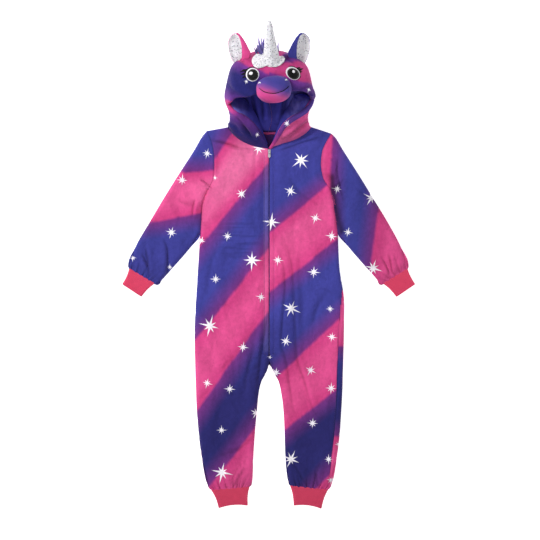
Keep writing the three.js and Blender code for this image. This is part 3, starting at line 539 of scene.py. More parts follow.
def star_group():
    """Eight-rayed stars from the star map, each with long rays between short ones and its own lengths."""
    tree, n, into, out = shader_group("Printed star", {"Vector": ("Vector", None)}, {"Mask": "Float"})
    place = n.parts(into["Vector"])
    cell = n.math("FLOOR", n.math("DIVIDE", n.plus(place[0], STAR_CELL / 2), STAR_CELL))
    x = n.minus(place[0], n.times(cell, STAR_CELL))
    y = place[1]
    far = n.math("SQRT", n.plus(n.times(x, x), n.times(y, y)))
    angle = n.math("ARCTAN2", y, x)
    ray = n.math("ROUND", n.math("DIVIDE", angle, math.pi / 4))
    lean = n.minus(angle, n.times(ray, math.pi / 4))
    along = n.times(far, n.math("COSINE", lean))
    across = n.math("ABSOLUTE", n.times(far, n.math("SINE", lean)))
    number = n.math("FLOORED_MODULO", ray, 8.0)
    odd = n.math("FLOORED_MODULO", number, 2.0)
    seed = n.plus(n.times(number, 3.17), n.times(cell, 11.3))
    chance = n.add("ShaderNodeTexWhiteNoise", {"W": seed}, noise_dimensions="1D").outputs["Value"]
    reach = n.minus(n.plus(0.8, n.times(chance, 0.28)), n.times(odd, 0.25))
    width = n.times(n.minus(1.0, n.math("DIVIDE", along, reach)), 0.14)
    rays = n.ease(n.minus(width, across), -0.012, 0.03)
    core = n.minus(1.0, n.ease(far, 0.17, 0.25))
    n.feed(out["Mask"], n.math("MAXIMUM", rays, core))
    return tree


def painted_light_group():
    """Painted light and shade by place on the garment: a painted highlight on the chest and along the zip's folded
    edge, painted shade on the blue low on the legs, and a tone with painted shade down the sleeves, most on the left
    one, low on the legs and in fine ripples by the right waist."""
    tree, n, _, out = shader_group("Painted light by place", {}, dict.fromkeys(("Chest Highlight", "Fold", "Low", "Tone"), "Float"))
    place = n.place()
    x, y, z = n.parts(place)
    # Painted highlight over the chest.
    from_chest = n.vector_math("DISTANCE", place, (-0.045, 0.25, 0.0), "Value")
    chest = n.minus(0.1, n.times(n.ease(from_chest, 0.03, 0.27), 0.1))
    # Painted highlight along the folded edge beside the zip.
    fold = n.times(n.ease(x, -0.0172, -0.0152), n.ease(x, -0.0012, -0.003))
    fold = n.times(fold, n.times(n.ease(z, 0.006, 0.009), n.ease(y, -0.245, -0.235)))
    fold = n.times(fold, n.ease(y, 0.322, 0.316))
    n.feed(out["Chest Highlight"], chest)
    n.feed(out["Fold"], n.times(fold, 0.035))
    # Painted shade: the blue darker low on the legs.
    n.feed(out["Low"], n.ease(y, -0.1, -0.42))
    # Painted shade down the sleeves, more on the left one, and low on the legs.
    sleeve = n.times(n.ease(n.math("ABSOLUTE", x), 0.17, 0.3), 0.14)
    sleeve = n.plus(sleeve, n.times(n.ease(x, 0.17, 0.26), 0.07))
    leg = n.times(n.ease(y, -0.05, -0.5), 0.12)
    # Painted shade of fine ripples beside the right waist.
    stretched = n.vector_math("MULTIPLY", place, (11.0, 120.0, 0.0))
    ripple_shade = n.ease(n.noise(stretched, 1.0, 1.0), 0.42, 0.62)
    from_waist = n.vector_math("DISTANCE", place, (-0.086, 0.072, 0.0), "Value")
    ripple_shade = n.times(ripple_shade, n.times(n.ease(from_waist, 0.085, 0.03), 0.2))
    n.feed(out["Tone"], n.minus(1.03, n.plus(n.plus(sleeve, leg), ripple_shade)))
    return tree


NAP, BANDS, STAR, PAINTED_LIGHT = nap_group(), bands_group(), star_group(), painted_light_group()


class Look(Nodes):
    """A new material's nodes. constants go on the sockets of its own Principled shader."""

    def __init__(self, name, roughness=0.9, **constants):
        self.material = bpy.data.materials.new(name)
        self.material.use_nodes = True
        super().__init__(self.material.node_tree)
        self.shader = self.tree.nodes["Principled BSDF"].inputs
        for label, value in {"Roughness": roughness, **constants}.items():
            self.feed(self.shader[label.replace("_", " ")], value)

    def dressed(self, base, roughness, normal):
        """The finished material, with what the nodes work out fed to its shader."""
        for label, value in (("Base Color", base), ("Roughness", roughness), ("Normal", normal)):
            self.feed(self.shader[label], value)
        return self.material


def bump(n, height, distance, strength=1.0, normal=None):
    """A normal raised by a height, on top of another one where it is given."""
    inputs = {"Height": height, "Distance": distance, "Strength": strength}
    if normal is not None:
        inputs["Normal"] = normal
    return n.out("ShaderNodeBump", inputs)


def brushed(name, sheen, tint, rough, gloss, soft):
    """A new material's nodes, with the soft sheen of a brushed pile."""
    return Look(name, rough, Sheen_Weight=sheen, Sheen_Roughness=soft, Sheen_Tint=tint,
                Specular_IOR_Level=gloss)


def printed_fleece(name, pink="da4e8b", deep="cb3f7f", purple="70307c", blue="3b3d90", low="282768", reach=0.05):
    """The onesie's printed cloth: bands and stars under a brushed pile, with painted highlights on the chest and the
    zip's fold, and painted shade in its creases, down the sleeves and low on the legs.
    """
    n = brushed(name, 0.25, "d8a8dc", 0.92, 0.15, 0.45)
    cloth = n.uv("cloth")
    nap = n.group(NAP, Vector=cloth)
    # Painted highlights and painted shade by place on the garment.
    wear_and_painted_light = n.group(PAINTED_LIGHT)
    # A pale lilac mixed in as a painted highlight on the chest and along the zip's fold; the blue is darkened low on
    # the legs as painted shade.
    painted_light_colour = "f5dcf2"
    bands = n.group(BANDS, Vector=n.uv("stripe"), Waver=nap["Shade"], Deep_Pink=deep,
                    Pink=n.mix(wear_and_painted_light["Chest Highlight"], pink, painted_light_colour), Purple=purple,
                    Blue=n.mix(wear_and_painted_light["Low"], blue, low), Reach=reach)
    mask = n.group(STAR, Vector=n.uv("star"))["Mask"]
    coloured = n.mix(n.times(mask, 0.96), n.mix(wear_and_painted_light["Fold"], bands["Color"], painted_light_colour), "fbf7ff")
    # The stripe map's second value: painted shade in creases, beside folds and along seams and gathers.
    crease = n.parts(n.uv("stripe"))[1]
    mottled = n.times(n.minus(n.noise(cloth, 95, 4, 0.62), 0.5), 0.42)
    tone = n.plus(n.plus(0.8, mottled), n.times(nap["Shade"], 0.38))
    tone = n.times(tone, n.minus(1.0, n.times(crease, 0.5)))
    crumpled = bump(n, nap["Crease"], 0.0022, 0.3)
    # Its tone carries painted shade down the sleeves, low on the legs and in ripples by the waist.
    return n.dressed(n.lit(coloured, n.times(tone, wear_and_painted_light["Tone"])), n.minus(0.97, n.times(nap["Shade"], 0.15)),
                     bump(n, nap["Height"], 0.0011, 0.7, crumpled))


def plain_fleece(name, base, shade, sheen=0.2, painted_light_colour=None, deep=None):
    """One plain colour of brushed cloth. In the hood's lining it is painted paler at the sides as painted light, and
    painted darker deep in its creases as painted shade.
    """
    n = brushed(name, sheen, base, 0.9, 0.2, 0.5)
    nap = n.group(NAP, Vector=n.uv("cloth"), Stroke=20)
    coloured = n.mix(nap["Shade"], shade, base)
    if painted_light_colour:
        # Painted light: the lining's walls paler where they lie in shade.
        place = n.parts(n.place())
        left = n.times(n.ease(place[0], 0.035, 0.075), n.ease(place[1], 0.37, 0.42))
        right = n.times(n.ease(place[0], -0.055, -0.075), n.ease(place[1], 0.37, 0.4))
        painted_light_mask = n.math("MAXIMUM", left, n.times(right, 0.75))
        coloured = n.mix(painted_light_mask, coloured, n.mix(nap["Shade"], base, painted_light_colour))
        # Painted shade: darker deep in the lining's creases.
        crease = n.parts(n.uv("stripe"))[0]
        coloured = n.mix(n.times(crease, 0.5), coloured, deep)
    return n.dressed(coloured, n.minus(0.96, n.times(nap["Shade"], 0.15)), bump(n, nap["Height"], 0.0009, 0.6))


def rib_knit(name):
    """Rib jersey: two columns of knit on each raised rib. The cloth map runs round the cuff in X."""
    n = brushed(name, 0.15, "ff9ab0", 0.85, 0.25, 0.4)
    place = n.parts(n.uv("cloth"))
    column = n.math("PINGPONG", n.times(place[0], 1 / 0.00155), 1.0)
    loop = n.math("PINGPONG", n.plus(n.times(place[1], 1 / 0.0011), n.times(column, 0.9)), 1.0)
    fuzz = n.noise(n.uv("cloth"), 2200, 2)
    broad = n.noise(n.uv("cloth"), 60, 3)
    knit = n.mix(n.ease(n.times(column, n.plus(0.6, broad)), 0.0, 0.9), "b5304f", "e24a6e")
    # Painted shade: the ankle cuffs darker low on the legs.
    tone = n.minus(1.0, n.times(n.group(PAINTED_LIGHT)["Low"], 0.13))
    height = n.plus(n.times(loop, 0.5), n.times(fuzz, 0.4))
    return n.dressed(n.lit(knit, tone), n.plus(0.78, n.times(fuzz, 0.18)), bump(n, height, 0.0005, 0.8))


def glitter_cloth():
    """Coated cloth set with glitter flakes that each face their own way."""
    n = Look("glitter_cloth", 0.5, Coat_Weight=0.25, Coat_Roughness=0.3, Specular_IOR_Level=0.5)
    place = n.place()
    flake, speck = (n.add("ShaderNodeTexVoronoi", {"Vector": place, "Scale": scale, "Randomness": 1.0}).outputs
                    for scale in (620.0, 290.0))
    chance, dark_chance = (n.add("ShaderNodeSeparateColor", {"Color": cell["Color"]}).outputs
                           for cell in (flake, speck))
    near = n.math("LESS_THAN", speck["Distance"], 0.42)
    dark = n.times(near, n.math("GREATER_THAN", dark_chance[0], 0.66))
    hue = n.out("ShaderNodeHueSaturation", {"Color": "c9b6de", "Hue": chance[1], "Saturation": 0.7})
    shiny = n.math("GREATER_THAN", chance[0], 0.45)
    ground = n.mix(n.times(shiny, 0.3), "dfdee3", hue)
    n.feed(n.shader["Metallic"], n.times(shiny, 0.25))
    centred = n.vector_math("SUBTRACT", flake["Color"], (0.5, 0.5, 0.5))
    tilt = n.out("ShaderNodeVectorMath", {0: centred, "Scale": 0.55}, operation="SCALE")
    tilted = n.vector_math("ADD", n.add("ShaderNodeNewGeometry").outputs["Normal"], tilt)
    return n.dressed(n.mix(n.times(dark, 0.85), ground, "55536a"), n.minus(0.62, n.times(shiny, 0.34)),
                     n.out("ShaderNodeVectorMath", {0: tilted}, operation="NORMALIZE"))


THREAD = 0.0007  # how wide a thread of satin stitch is, in metres


def stitched_felt(name, base, shade, gloss=0.3, sheen=0.1):
    """Satin stitch on felt: close threads side by side."""
    n = Look(name, 0.6, Sheen_Weight=sheen, Specular_IOR_Level=gloss)
    place = n.place()
    wave = n.add("ShaderNodeTexWave", {"Vector": n.mapped(place, Rotation=(0, 0, 0.5)), "Scale": 0.314 / THREAD,
                                       "Distortion": 1.5, "Detail": 2.0, "Detail Scale": 1.5}).outputs["Fac"]
    fuzz = n.noise(place, 1800, 2)
    return n.dressed(n.mix(n.times(wave, fuzz), shade, base), n.plus(0.45, n.times(fuzz, 0.3)),
                     bump(n, n.plus(wave, fuzz), 0.00025, 0.6))


def woven_tape(name, base, shade):
    """Narrow plain-woven tape."""
    n = Look(name, 0.7, Sheen_Weight=0.1, Specular_IOR_Level=0.3)
    place = n.place()
    weave = n.add("ShaderNodeTexBrick", {"Vector": place, "Scale": 900.0, "Mortar Size": 0.03,
                                         "Color1": (1, 1, 1, 1), "Color2": (0.7, 0.7, 0.7, 1),
                                         "Mortar": (0, 0, 0, 1)}).outputs["Color"]
    fuzz = n.noise(place, 1500, 2)
    return n.dressed(n.mix(n.times(weave, fuzz), shade, base), n.plus(0.6, n.times(fuzz, 0.25)),
                     bump(n, weave, 0.0003, 0.6))


def rubbed(name, noise, base, wear_and_painted_light, rough, strength, **constants):
    """A hard surface, paler and duller where it is rubbed. noise and rough are what sets its scuffs and their gloss."""
    n = Look(name, **constants)
    scuff = n.noise(n.place(), *noise)
    return n.dressed(n.mix(scuff, base, wear_and_painted_light), n.plus(rough, n.times(scuff, 0.3)),
                     bump(n, scuff, 0.0001, strength))


# ---------------------------------------------------------------- the lie of the cloth

# Folds on the front: points of the ridge, its height and width, and the side of it that the trough lies on.
FOLDS = [
    ([(36, 104), (56, 56), (73, -14), (77, -93), (80, -160), (84, -246), (106, -318), (128, -392), (152, -430)],
     4.6, 9, -1),
    ([(11, 50), (30, -13), (33, -60), (26, -150), (22, -221), (30, -246), (39, -283), (45, -331), (52, -373),
      (58, -425)], 3.4, 9, 1),
    ([(-9, -98), (-31, -235), (-48, -373)], 3.8, 9, 1),
    ([(-31, -221), (-53, -304), (-60, -360)], 4.2, 8, -1),
    ([(-140, -516), (-110, -508), (-84, -496), (-50, -468)], 2.6, 8, -1),
    ([(-104, -618), (-97, -600), (-81, -565), (-53, -538)], 4.0, 6, 1),
    ([(57, -524), (76, -548), (98, -585), (119, -614)], 4.0, 7, -1),
    ([(142, -612), (138, -580), (150, -545)], 4.2, 8, 1),
    ([(16, 318), (57, 333), (98, 347), (146, 360)], 4.5, 8, -1),
    ([(-60, 322), (-108, 340), (-165, 352)], 5.1, 9, 1),
    ([(-40, 306), (-90, 312), (-130, 322)], 3.4, 9, -1),
    ([(-196, 230), (-180, 220), (-160, 204)], 6.5, 5, 1),
    ([(-196, 180), (-202, 155), (-205, 125)], 5.1, 6, -1),
    ([(165, 212), (182, 222), (200, 236)], 4.2, 7, -1),
    ([(180, 300), (176, 262), (184, 214), (196, 170)], 4.2, 9, 1),
    ([(-300, 70), (-288, 30), (-289, -10), (-298, -44)], 5.1, 8, 1),
    ([(-334, 56), (-326, 12), (-322, -34)], 5.1, 8, -1),
    ([(-358, 30), (-345, 2), (-334, -20)], 4.4, 6, 1),
    ([(336, 30), (342, 2), (346, -26)], 5.4, 6, -1),
    ([(300, 20), (318, -12), (326, -36)], 4.1, 6, 1),
    ([(230, 200), (262, 176), (300, 150)], 3.1, 10, 1),
    ([(-250, 190), (-226, 176), (-200, 172)], 3.1, 9, -1),
    ([(150, -60), (120, -110), (100, -170)], 2.7, 12, 1),
    ([(-120, 60), (-150, -20), (-160, -110)], 2.7, 14, -1),
    ([(-60, -180), (-100, -236), (-160, -300)], 1.6, 12, 1),
    ([(128, -30), (150, -44), (184, -52)], 2.4, 5, 1), ([(132, -52), (156, -64), (186, -78)], 2.2, 5, -1),
    ([(150, -12), (168, -22), (186, -24)], 2.0, 5, 1),
    ([(60, 250), (100, 200), (150, 170)], 2.4, 12, -1),
]
# Where the cloth lies in its own shade: a line, how deep the shade is and how wide it spreads.
SHADES = {
    "front": [([(-76, 338), (-66, 330)], 0.3, 6), ([(-97, -607), (-86, -585), (-72, -566)], 0.75, 2.6),
              ([(-5, -262), (-14, -300), (-27, -330)], 0.35, 4), ([(5, -266), (16, -300), (29, -330)], 0.35, 4),
              ([(-24, -221), (-28, -262), (-29, -300)], 0.4, 3), ([(-80, -165), (-78, -240), (-84, -300)], 0.2, 3)],
    "sleeve": [([(172, 240), (178, 190), (190, 120), (198, 92)], 1.45, 11),
               ([(-180, 196), (-200, 120), (-236, 60)], 0.22, 10)],
    "hood": [([(-66, 582), (-58, 562), (-40, 560)], 0.75, 16), ([(38, 556), (64, 570)], 0.7, 9),
             ([(98, 556), (110, 538)], 0.4, 8),
             ([(104, 392), (76, 374), (36, 345)], 1.0, 3.2), ([(108, 404), (90, 390), (64, 369)], 0.6, 3.0),
             ([(-74, 378), (-58, 358), (-40, 340)], 0.4, 3), ([(-104, 470), (-60, 462)], 0.35, 6),
             ([(-64, 498), (-48, 478)], 0.4, 7)],
}
# Folds that the back has pressed into it, as lines of shallow troughs from outside.
BACK_FOLDS = [
    ([(-150, 320), (-100, 240), (-60, 130)], 2.0, 9, 1), ([(150, 320), (90, 250), (40, 160)], 2.0, 9, -1),
    ([(-120, -20), (-60, -120), (-40, -230)], 2.4, 10, 1), ([(130, -40), (80, -140), (50, -240)], 2.2, 10, -1),
    ([(-160, -330), (-110, -420), (-90, -520)], 2.0, 9, 1), ([(170, -300), (120, -400), (100, -540)], 2.0, 9, -1),
    ([(-20, 300), (10, 200), (-8, 80)], 1.6, 10, 1), ([(-330, 60), (-290, 10), (-300, -40)], 1.8, 8, 1),
    ([(330, 60), (300, 0), (310, -40)], 1.8, 8, -1),
]
PUFF = 6.0  # how far the front stands up off the back between its edges
EDGE_ROUND, BACK_ROUND = 11, 6  # how far in from a folded edge the cloth is level


def signed(side, pairs):
    """Places of one half, from tables that give both halves as if they were the left."""
    return np.asarray(pairs, float) * [SIDES[side], 1]


def edge_lines(side):
    """The folded edges of one half: over the shoulder and sleeve, under it, down the side and up the inseam."""
    sleeve = np.array(SLEEVE[side] + [WRIST_END[side]], float)
    legs = np.array(LEGS[side] + [ANKLE_END[side]], float)
    trunk = np.array(TRUNK[side], float)
    over = np.vstack([SHOULDER[side][:1, :2], SHOULDER[side][:1, 4:], sleeve[:, :2]])
    under = np.vstack([[[169, 205]], sleeve[:, 2:]])
    return [signed(side, line) for line in (over, under, np.vstack([trunk[:, 1:], legs[1:, 2:]]), legs[:, :2])]


def cuff_seams(side):
    """Where the sleeve and the leg are sewn to their cuffs."""
    top, under = np.reshape(SLEEVE[side][-1], (2, 2))
    inside, outside = np.array(LEGS[side][-1][:2]), np.array(LEGS[side][-1][2:])
    return [signed(side, [top, under]), signed(side, [inside, outside])]


def fold_heights(places, folds):
    """How far the folds lift each place, or press it down in their troughs."""
    total = np.zeros(len(places))
    for line, height, width, lean in folds:
        line = refined(line, 6)
        far, side, along = from_line(places, line)
        across = far * side
        fade = np.sin(np.pi * np.clip(along, 0, 1)) ** 0.6
        ridge = np.exp(-(across / width) ** 2)
        trough = np.exp(-((across - lean * 1.25 * width) / (0.55 * width)) ** 2)
        total += height * fade * (ridge - 0.85 * trough)
    return total


def trough_shade(places, folds):
    """How deep each place is in the troughs beside the folds, from 0 to 1, for the painted shade there."""
    marks = np.zeros(len(places))
    for line, height, width, lean in folds:
        far, side, along = from_line(places, refined(line, 6))
        fade = np.clip(np.sin(np.pi * np.clip(along, 0, 1)) * 1.6, 0, 1)
        trough = np.exp(-((far * side - lean * 1.1 * width) / (0.4 * width)) ** 2)
        marks = np.maximum(marks, min(1, height / 5) * fade * trough)
    return marks


def gather_heights(places, seams, seed):
    """Pleats that run from a cuff up the cloth and fade."""
    total = np.zeros(len(places))
    rng = np.random.default_rng(seed)
    for seam in seams:
        way = seam[1] - seam[0]
        length = np.linalg.norm(way)
        way /= length
        rel = places - seam[0]
        along = rel @ way
        off = np.abs(rel[:, 0] * way[1] - rel[:, 1] * way[0])
        inside = (along > -40) & (along < length + 40) & (off < 90)
        spread = (along - length / 2) / (1 + off / 70)
        wave = np.zeros(len(places))
        for size, part in ((15, 1.0), (8.5, 0.8), (5.6, 0.5)):
            wave += part * np.sin(math.tau * spread / size + rng.uniform(0, 6) + ripple(places, 40, seed + 3) * 0.9)
        total += np.where(inside, wave * 1.9 * np.exp(-off / 19) * (1 - np.exp(-off / 2.2)), 0)
    return total


# The side seam, which is turned to the front down the left leg.
SIDE_STRIP = [(201, -60), (196, -130), (190, -207), (187.5, -260), (187, -330), (183, -400), (178.5, -455),
              (171, -537), (162, -612)]


def edge_distance(side, places):
    """How far each place is from the nearest folded edge."""
    return np.min([from_line(places, line)[0] for line in edge_lines(side)], axis=0)


def front_z(side, places):
    """Height of the middle of the front layer over a place."""
    places = np.asarray(places, float).reshape(-1, 2)
    edge = np.clip(edge_distance(side, places) / EDGE_ROUND, 0, 1)
    neck = from_line(places, signed(side, refined(SHOULDER[side][:5, :2], 6)))[0]
    zip_far = np.where((places[:, 1] > ZIP_END) & (places[:, 1] < ZIP_TOP), np.abs(places[:, 0]) - ZIP_HALF, 99)
    seams = np.min([from_line(places, seam)[0] for seam in cuff_seams(side)], axis=0)
    middle = np.where(places[:, 1] < ZIP_END, np.abs(places[:, 0]), 99)
    room = ease(0, 34, neck) * ease(7, 30, zip_far) * ease(0, 26, seams) * ease(-6, 12, middle)
    armhole = from_line(places, signed(side, refined(SHOULDER[side][:, 4:], 5)))[0]
    raised = PUFF * room * (1 + 0.28 * ripple(places, 150, 5))
    raised += room * (0.55 * ripple(places, 46, 8) + 0.25 * ripple(places, 21, 9))
    raised += fold_heights(places, FOLDS) * np.minimum(1, 0.25 + room) * ease(2, 14, zip_far)
    raised += gather_heights(places, cuff_seams(side), 21)
    raised -= 1.5 * np.exp(-(armhole / 2.2) ** 2) + 0.9 * np.exp(-((zip_far - 11) / 1.6) ** 2)
    raised += 0.7 * np.exp(-((zip_far - 5.5) / 3.0) ** 2)
    raised -= 0.8 * np.exp(-(neck / 2.0) ** 2)
    if side == "left":
        strip = from_line(places, refined(SIDE_STRIP, 8))[0]
        raised -= 1.6 * np.exp(-(strip / 1.8) ** 2)
    tight = 0.9 * np.sin(places[:, 1] / 1.55 + 2 * ripple(places, 60, 14))
    raised += tight * np.exp(-((np.abs(places[:, 0]) - 75) / 38) ** 2) * np.exp(-((places[:, 1] - 90) / 70) ** 2)
    depth = np.sqrt(1 - (1 - edge) ** 2)
    return EDGE_Z + np.maximum(FRONT_Z - EDGE_Z + raised, 1.2) * depth


def back_z(side, places):
    """Height of the middle of the back layer over a place."""
    places = np.asarray(places, float).reshape(-1, 2)
    edge = np.clip(edge_distance(side, places) / BACK_ROUND, 0, 1)
    pressed = np.clip(fold_heights(places, BACK_FOLDS), 0, 3) + 0.4 * np.clip(ripple(places, 40, 17), 0, 1)
    pressed += 0.5 * np.clip(gather_heights(places, cuff_seams(side), 33), 0, 3)
    armhole = from_line(places, signed(side, refined(SHOULDER[side][:, 4:], 5)))[0]
    pressed += 0.9 * np.exp(-(armhole / 2) ** 2) + 0.8 * np.exp(-(places[:, 0] / 1.6) ** 2)
    pressed = np.minimum(pressed, 2.6) * ease(0, 14, edge * BACK_ROUND)
    return EDGE_Z - (EDGE_Z - BACK_Z) * np.sqrt(1 - (1 - edge) ** 2) + pressed


EDGE_OFFSETS = np.array([0, 0.5, 1.2, 2.2, 3.6, 5.4, 7.8, 10.6])  # where columns stand near a folded edge
MIDDLE_COLUMNS = 56


def lay_across(starts, ends):
    """Columns of places from starts to ends, close together near both."""
    starts, ends = np.asarray(starts, float), np.asarray(ends, float)
    length = np.linalg.norm(ends - starts, axis=1)[:, None]
    near = EDGE_OFFSETS[None] * np.minimum(1, length / 60)
    inner = np.linspace(near[:, -1], (length - near[:, -1:])[:, 0], MIDDLE_COLUMNS, axis=1)[:, 1:-1]
    along = np.concatenate([near, inner, (length - near)[:, ::-1]], axis=1) / length
    return starts[:, None] + (ends - starts)[:, None] * along[..., None]


def body_cuts(side):
    """Fine cuts of half the body: frontX, frontY, backX, backY, outX, outY. With them come how many belong to the
    shoulder, and which is at the middle of the back's neck and which at the zip's top."""
    along = run_lengths(SHOULDER[side][:, 4:])
    extra = np.concatenate([EDGE_OFFSETS, along[-1] - EDGE_OFFSETS])
    wanted = np.unique(np.round(np.concatenate([extra] + [np.linspace(a, b, 8) for a, b in zip(along, along[1:])]), 6))
    keep = np.concatenate([[True], np.diff(wanted) > 0.3])
    wanted = np.union1d(wanted[keep], np.round(along, 6))
    shoulder = smooth(along, SHOULDER[side], wanted)
    centre_back = int(np.searchsorted(wanted, round(along[3], 6)))
    zip_top = int(np.searchsorted(wanted, round(along[4], 6)))
    trunk = refined(TRUNK[side], 16, run_lengths(np.array(TRUNK[side])[:, 1:]))[1:]
    middle, out_x, out_y = trunk.T
    front_x = np.interp(-middle, [-ZIP_END, 262], [ZIP_HALF, 0])
    trunk = np.stack([front_x, middle, np.zeros_like(middle), middle, out_x, out_y], axis=-1)
    legs = refined(LEGS[side], 9, run_lengths(np.array(LEGS[side])[:, 2:]))[1:]
    legs = np.hstack([legs[:, :2], legs[:, :2], legs[:, 2:]])
    return np.vstack([shoulder, trunk, legs]), len(shoulder), centre_back, zip_top


def body_layer(side, layer, cuts):
    """Rows of points of the front or the back of one half. The front rolls under beside the zip."""
    first = 0 if layer == "front" else 2
    rows = lay_across(signed(side, cuts[:, first:first + 2]), signed(side, cuts[:, 4:]))
    height = front_z if layer == "front" else back_z
    z = height(side, rows.reshape(-1, 2)).reshape(rows.shape[:2])
    if layer == "front":
        beside = np.linalg.norm(rows - rows[:, :1], axis=-1)
        by_zip = ((rows[:, :1, 1] < ZIP_TOP + 1) & (rows[:, :1, 1] > ZIP_END - 8)) * 1.0
        z = z - by_zip * 1.5 * (1 - np.sqrt(1 - (1 - np.clip(beside / 3.2, 0, 1)) ** 2))
    return np.concatenate([rows, z[..., None]], axis=-1)


def ring_of(front, back):
    """A closed ring of points over the front and back under it."""
    return np.concatenate([front, back[1:-1][::-1]])


def sleeve_rows(side, front, back, count):
    """Rings of the sleeve, from the body's own points at the armhole to the cuff's seam."""
    armhole = front[:count, -1]
    parts = fractions_of(armhole)
    rings = [armhole[:, :2]]
    for top_x, top_y, under_x, under_y in SLEEVE[side]:
        top, under = signed(side, [top_x, top_y]), signed(side, [under_x, under_y])
        rings.append(top + (under - top) * parts[:, None])
    rings = np.stack(rings)
    along = run_lengths(rings.mean(axis=1))
    wanted = np.concatenate([np.linspace(a, b, max(3, round((b - a) / 4)), endpoint=False)
                             for a, b in zip(along, along[1:])] + [along[-1:]])
    places = smooth(along, rings, wanted)
    flat = places.reshape(-1, 2)
    shape = places.shape[:2]
    over = np.concatenate([places, front_z(side, flat).reshape(shape)[..., None]], axis=-1)
    below = np.concatenate([places, back_z(side, flat).reshape(shape)[..., None]], axis=-1)
    over[0], below[0] = armhole, back[:count, -1]
    return np.stack([ring_of(a, b) for a, b in zip(over, below)])


# ---------------------------------------------------------------- the hood's form


def lower_arc(half, side_y, side_z, floor_y, floor_z, sag):
    """The hood's cross-cut from the middle of its floor round to its side."""
    angle = np.linspace(0, math.pi / 2, 60)
    out, down = np.sin(angle) ** (2 / FLOOR_POWER), np.cos(angle) ** (2 / FLOOR_POWER)
    z = np.maximum(floor_z, side_z - (side_z - floor_z + sag) * down)
    return np.stack([half * out, floor_y + (side_y - floor_y) * out**2, z], axis=-1)


def upper_arc(half, side_y, side_z, end):
    """The hood's cross-cut from its side up to an end."""
    angle = np.linspace(0, math.pi / 2, 60)[1:]
    out, up = np.cos(angle) ** (2 / CROWN_POWER), np.sin(angle) ** (2 / CROWN_POWER)
    x, y, z = end
    return np.stack([x + (half - x) * out, side_y + (y - side_y) * up, side_z + (z - side_z) * up], axis=-1)


def spread_out(fractions, even):
    """Fractions brought nearer to even spacing."""
    fractions = np.asarray(fractions)
    return fractions + (np.linspace(0, 1, len(fractions)) - fractions) * even


def on_side(side, line):
    """Points of one half, from a line given as if it were the left."""
    return np.asarray(line, float) * [SIDES[side], 1, 1]


def brow_points(side):
    """The face opening's upper edge, from its side to the middle."""
    line = refined(BROW[side], 5)
    rise = (1 - (line[:, 0] / BROW_ARCH[side]) ** CROWN_POWER) ** (1 / CROWN_POWER)
    z = BROW_ARCH["sideZ"] + (BROW_ARCH["topZ"] - BROW_ARCH["sideZ"]) * rise
    return on_side(side, np.column_stack([line, z]))


def hood_rows(side, neckline):
    """Fine rings of half the hood: from the neckline to the brow's ends, and from there to the crown."""
    left = side == "left"
    spacing = fractions_of(neckline)
    rings = [neckline]
    for i, (half, side_z, side_y, back_y, left_half) in enumerate(HOOD_RINGS[1:], 1):
        half = left_half if left else half
        end = FACE_EDGE[side][i]
        if left and i == len(HOOD_RINGS) - 1:
            side_y = end[1]
        line = lower_arc(half, side_y, side_z, back_y, BACK_Z, FLOOR_SAG)
        if end[2] > side_z:
            line = np.vstack([line, upper_arc(half, side_y, side_z, end)])
        rings.append(points_along(on_side(side, line), spread_out(spacing, min(1, i / 3))))
    lower = refined(np.stack(rings), 6, run_lengths(np.stack(rings).mean(axis=1)))
    first = np.vstack([lower[-1], brow_points(side)])
    spacing = fractions_of(first)
    rings = [first]
    for i, (half, left_half, side_y, side_z, top_y, top_z, floor_y, floor_z) in enumerate(HEAD_RINGS):
        half = left_half if left else half
        sag = FLOOR_SAG * max(0, 1 - i / 5)
        line = np.vstack([lower_arc(half, side_y, side_z, floor_y, floor_z, sag),
                          upper_arc(half, side_y, side_z, (0, top_y, top_z))])
        rings.append(points_along(on_side(side, line), spread_out(spacing, min(1, (i + 1) / 3))))
    rings = np.stack(rings)
    apart = np.linalg.norm(np.diff(rings, axis=0), axis=-1).mean(1)
    return lower, refined(rings, 7, np.concatenate([[0], np.cumsum(apart)]))


# Folds of the hood seen from the front, and of its lining on the side away from the face.
HOOD_FOLDS = [
    ([(-98, 402), (-80, 384), (-66, 362), (-54, 344)], 4.2, 7, 1),
    ([(-84, 400), (-62, 382), (-46, 362), (-34, 346)], 4.2, 6.5, -1),
    ([(-116, 402), (-106, 384), (-94, 368)], 3.6, 8, -1),
    ([(104, 404), (86, 388), (60, 364), (38, 346)], 4.4, 8, 1),
    ([(108, 386), (94, 372), (74, 358)], 3.6, 6, -1),
    ([(-100, 560), (-84, 548), (-62, 540)], 3.1, 8, 1),
    ([(-84, 568), (-70, 560), (-58, 548)], 3.0, 5, -1),
    ([(40, 572), (62, 560), (78, 552)], 4.1, 6, -1),
    ([(-70, 470), (-92, 486), (-108, 512)], 2.7, 10, 1),
    ([(74, 486), (96, 492), (112, 508)], 3.4, 8, -1),
    ([(-40, 500), (-28, 520), (-14, 532)], 2.4, 8, 1),
]
LINING_FOLDS = [
    ([(-58, 470), (-52, 430), (-44, 388), (-36, 368)], 11, 9, 1),
    ([(-38, 470), (-34, 430), (-26, 392), (-18, 368)], 9.0, 8, -1),
    ([(-14, 466), (-12, 430), (-10, 396)], 6.0, 6, -1),
    ([(28, 470), (30, 430), (26, 388)], 7.0, 9, 1),
    ([(62, 470), (50, 430), (38, 392)], 11, 9, -1),
    ([(92, 466), (78, 432), (60, 404)], 6.0, 10, 1),
    ([(-92, 456), (-82, 424), (-64, 396)], 5.0, 8, 1),
]
ROLL_TURN = math.radians(205)  # how far the hood's edge curls under
ROLL_STEPS = 12
LINING_START = 8  # the lining begins this many rings above the neck seam
FACE_LINES = {}  # the hood's edge beside the face, from the zip up to the brow


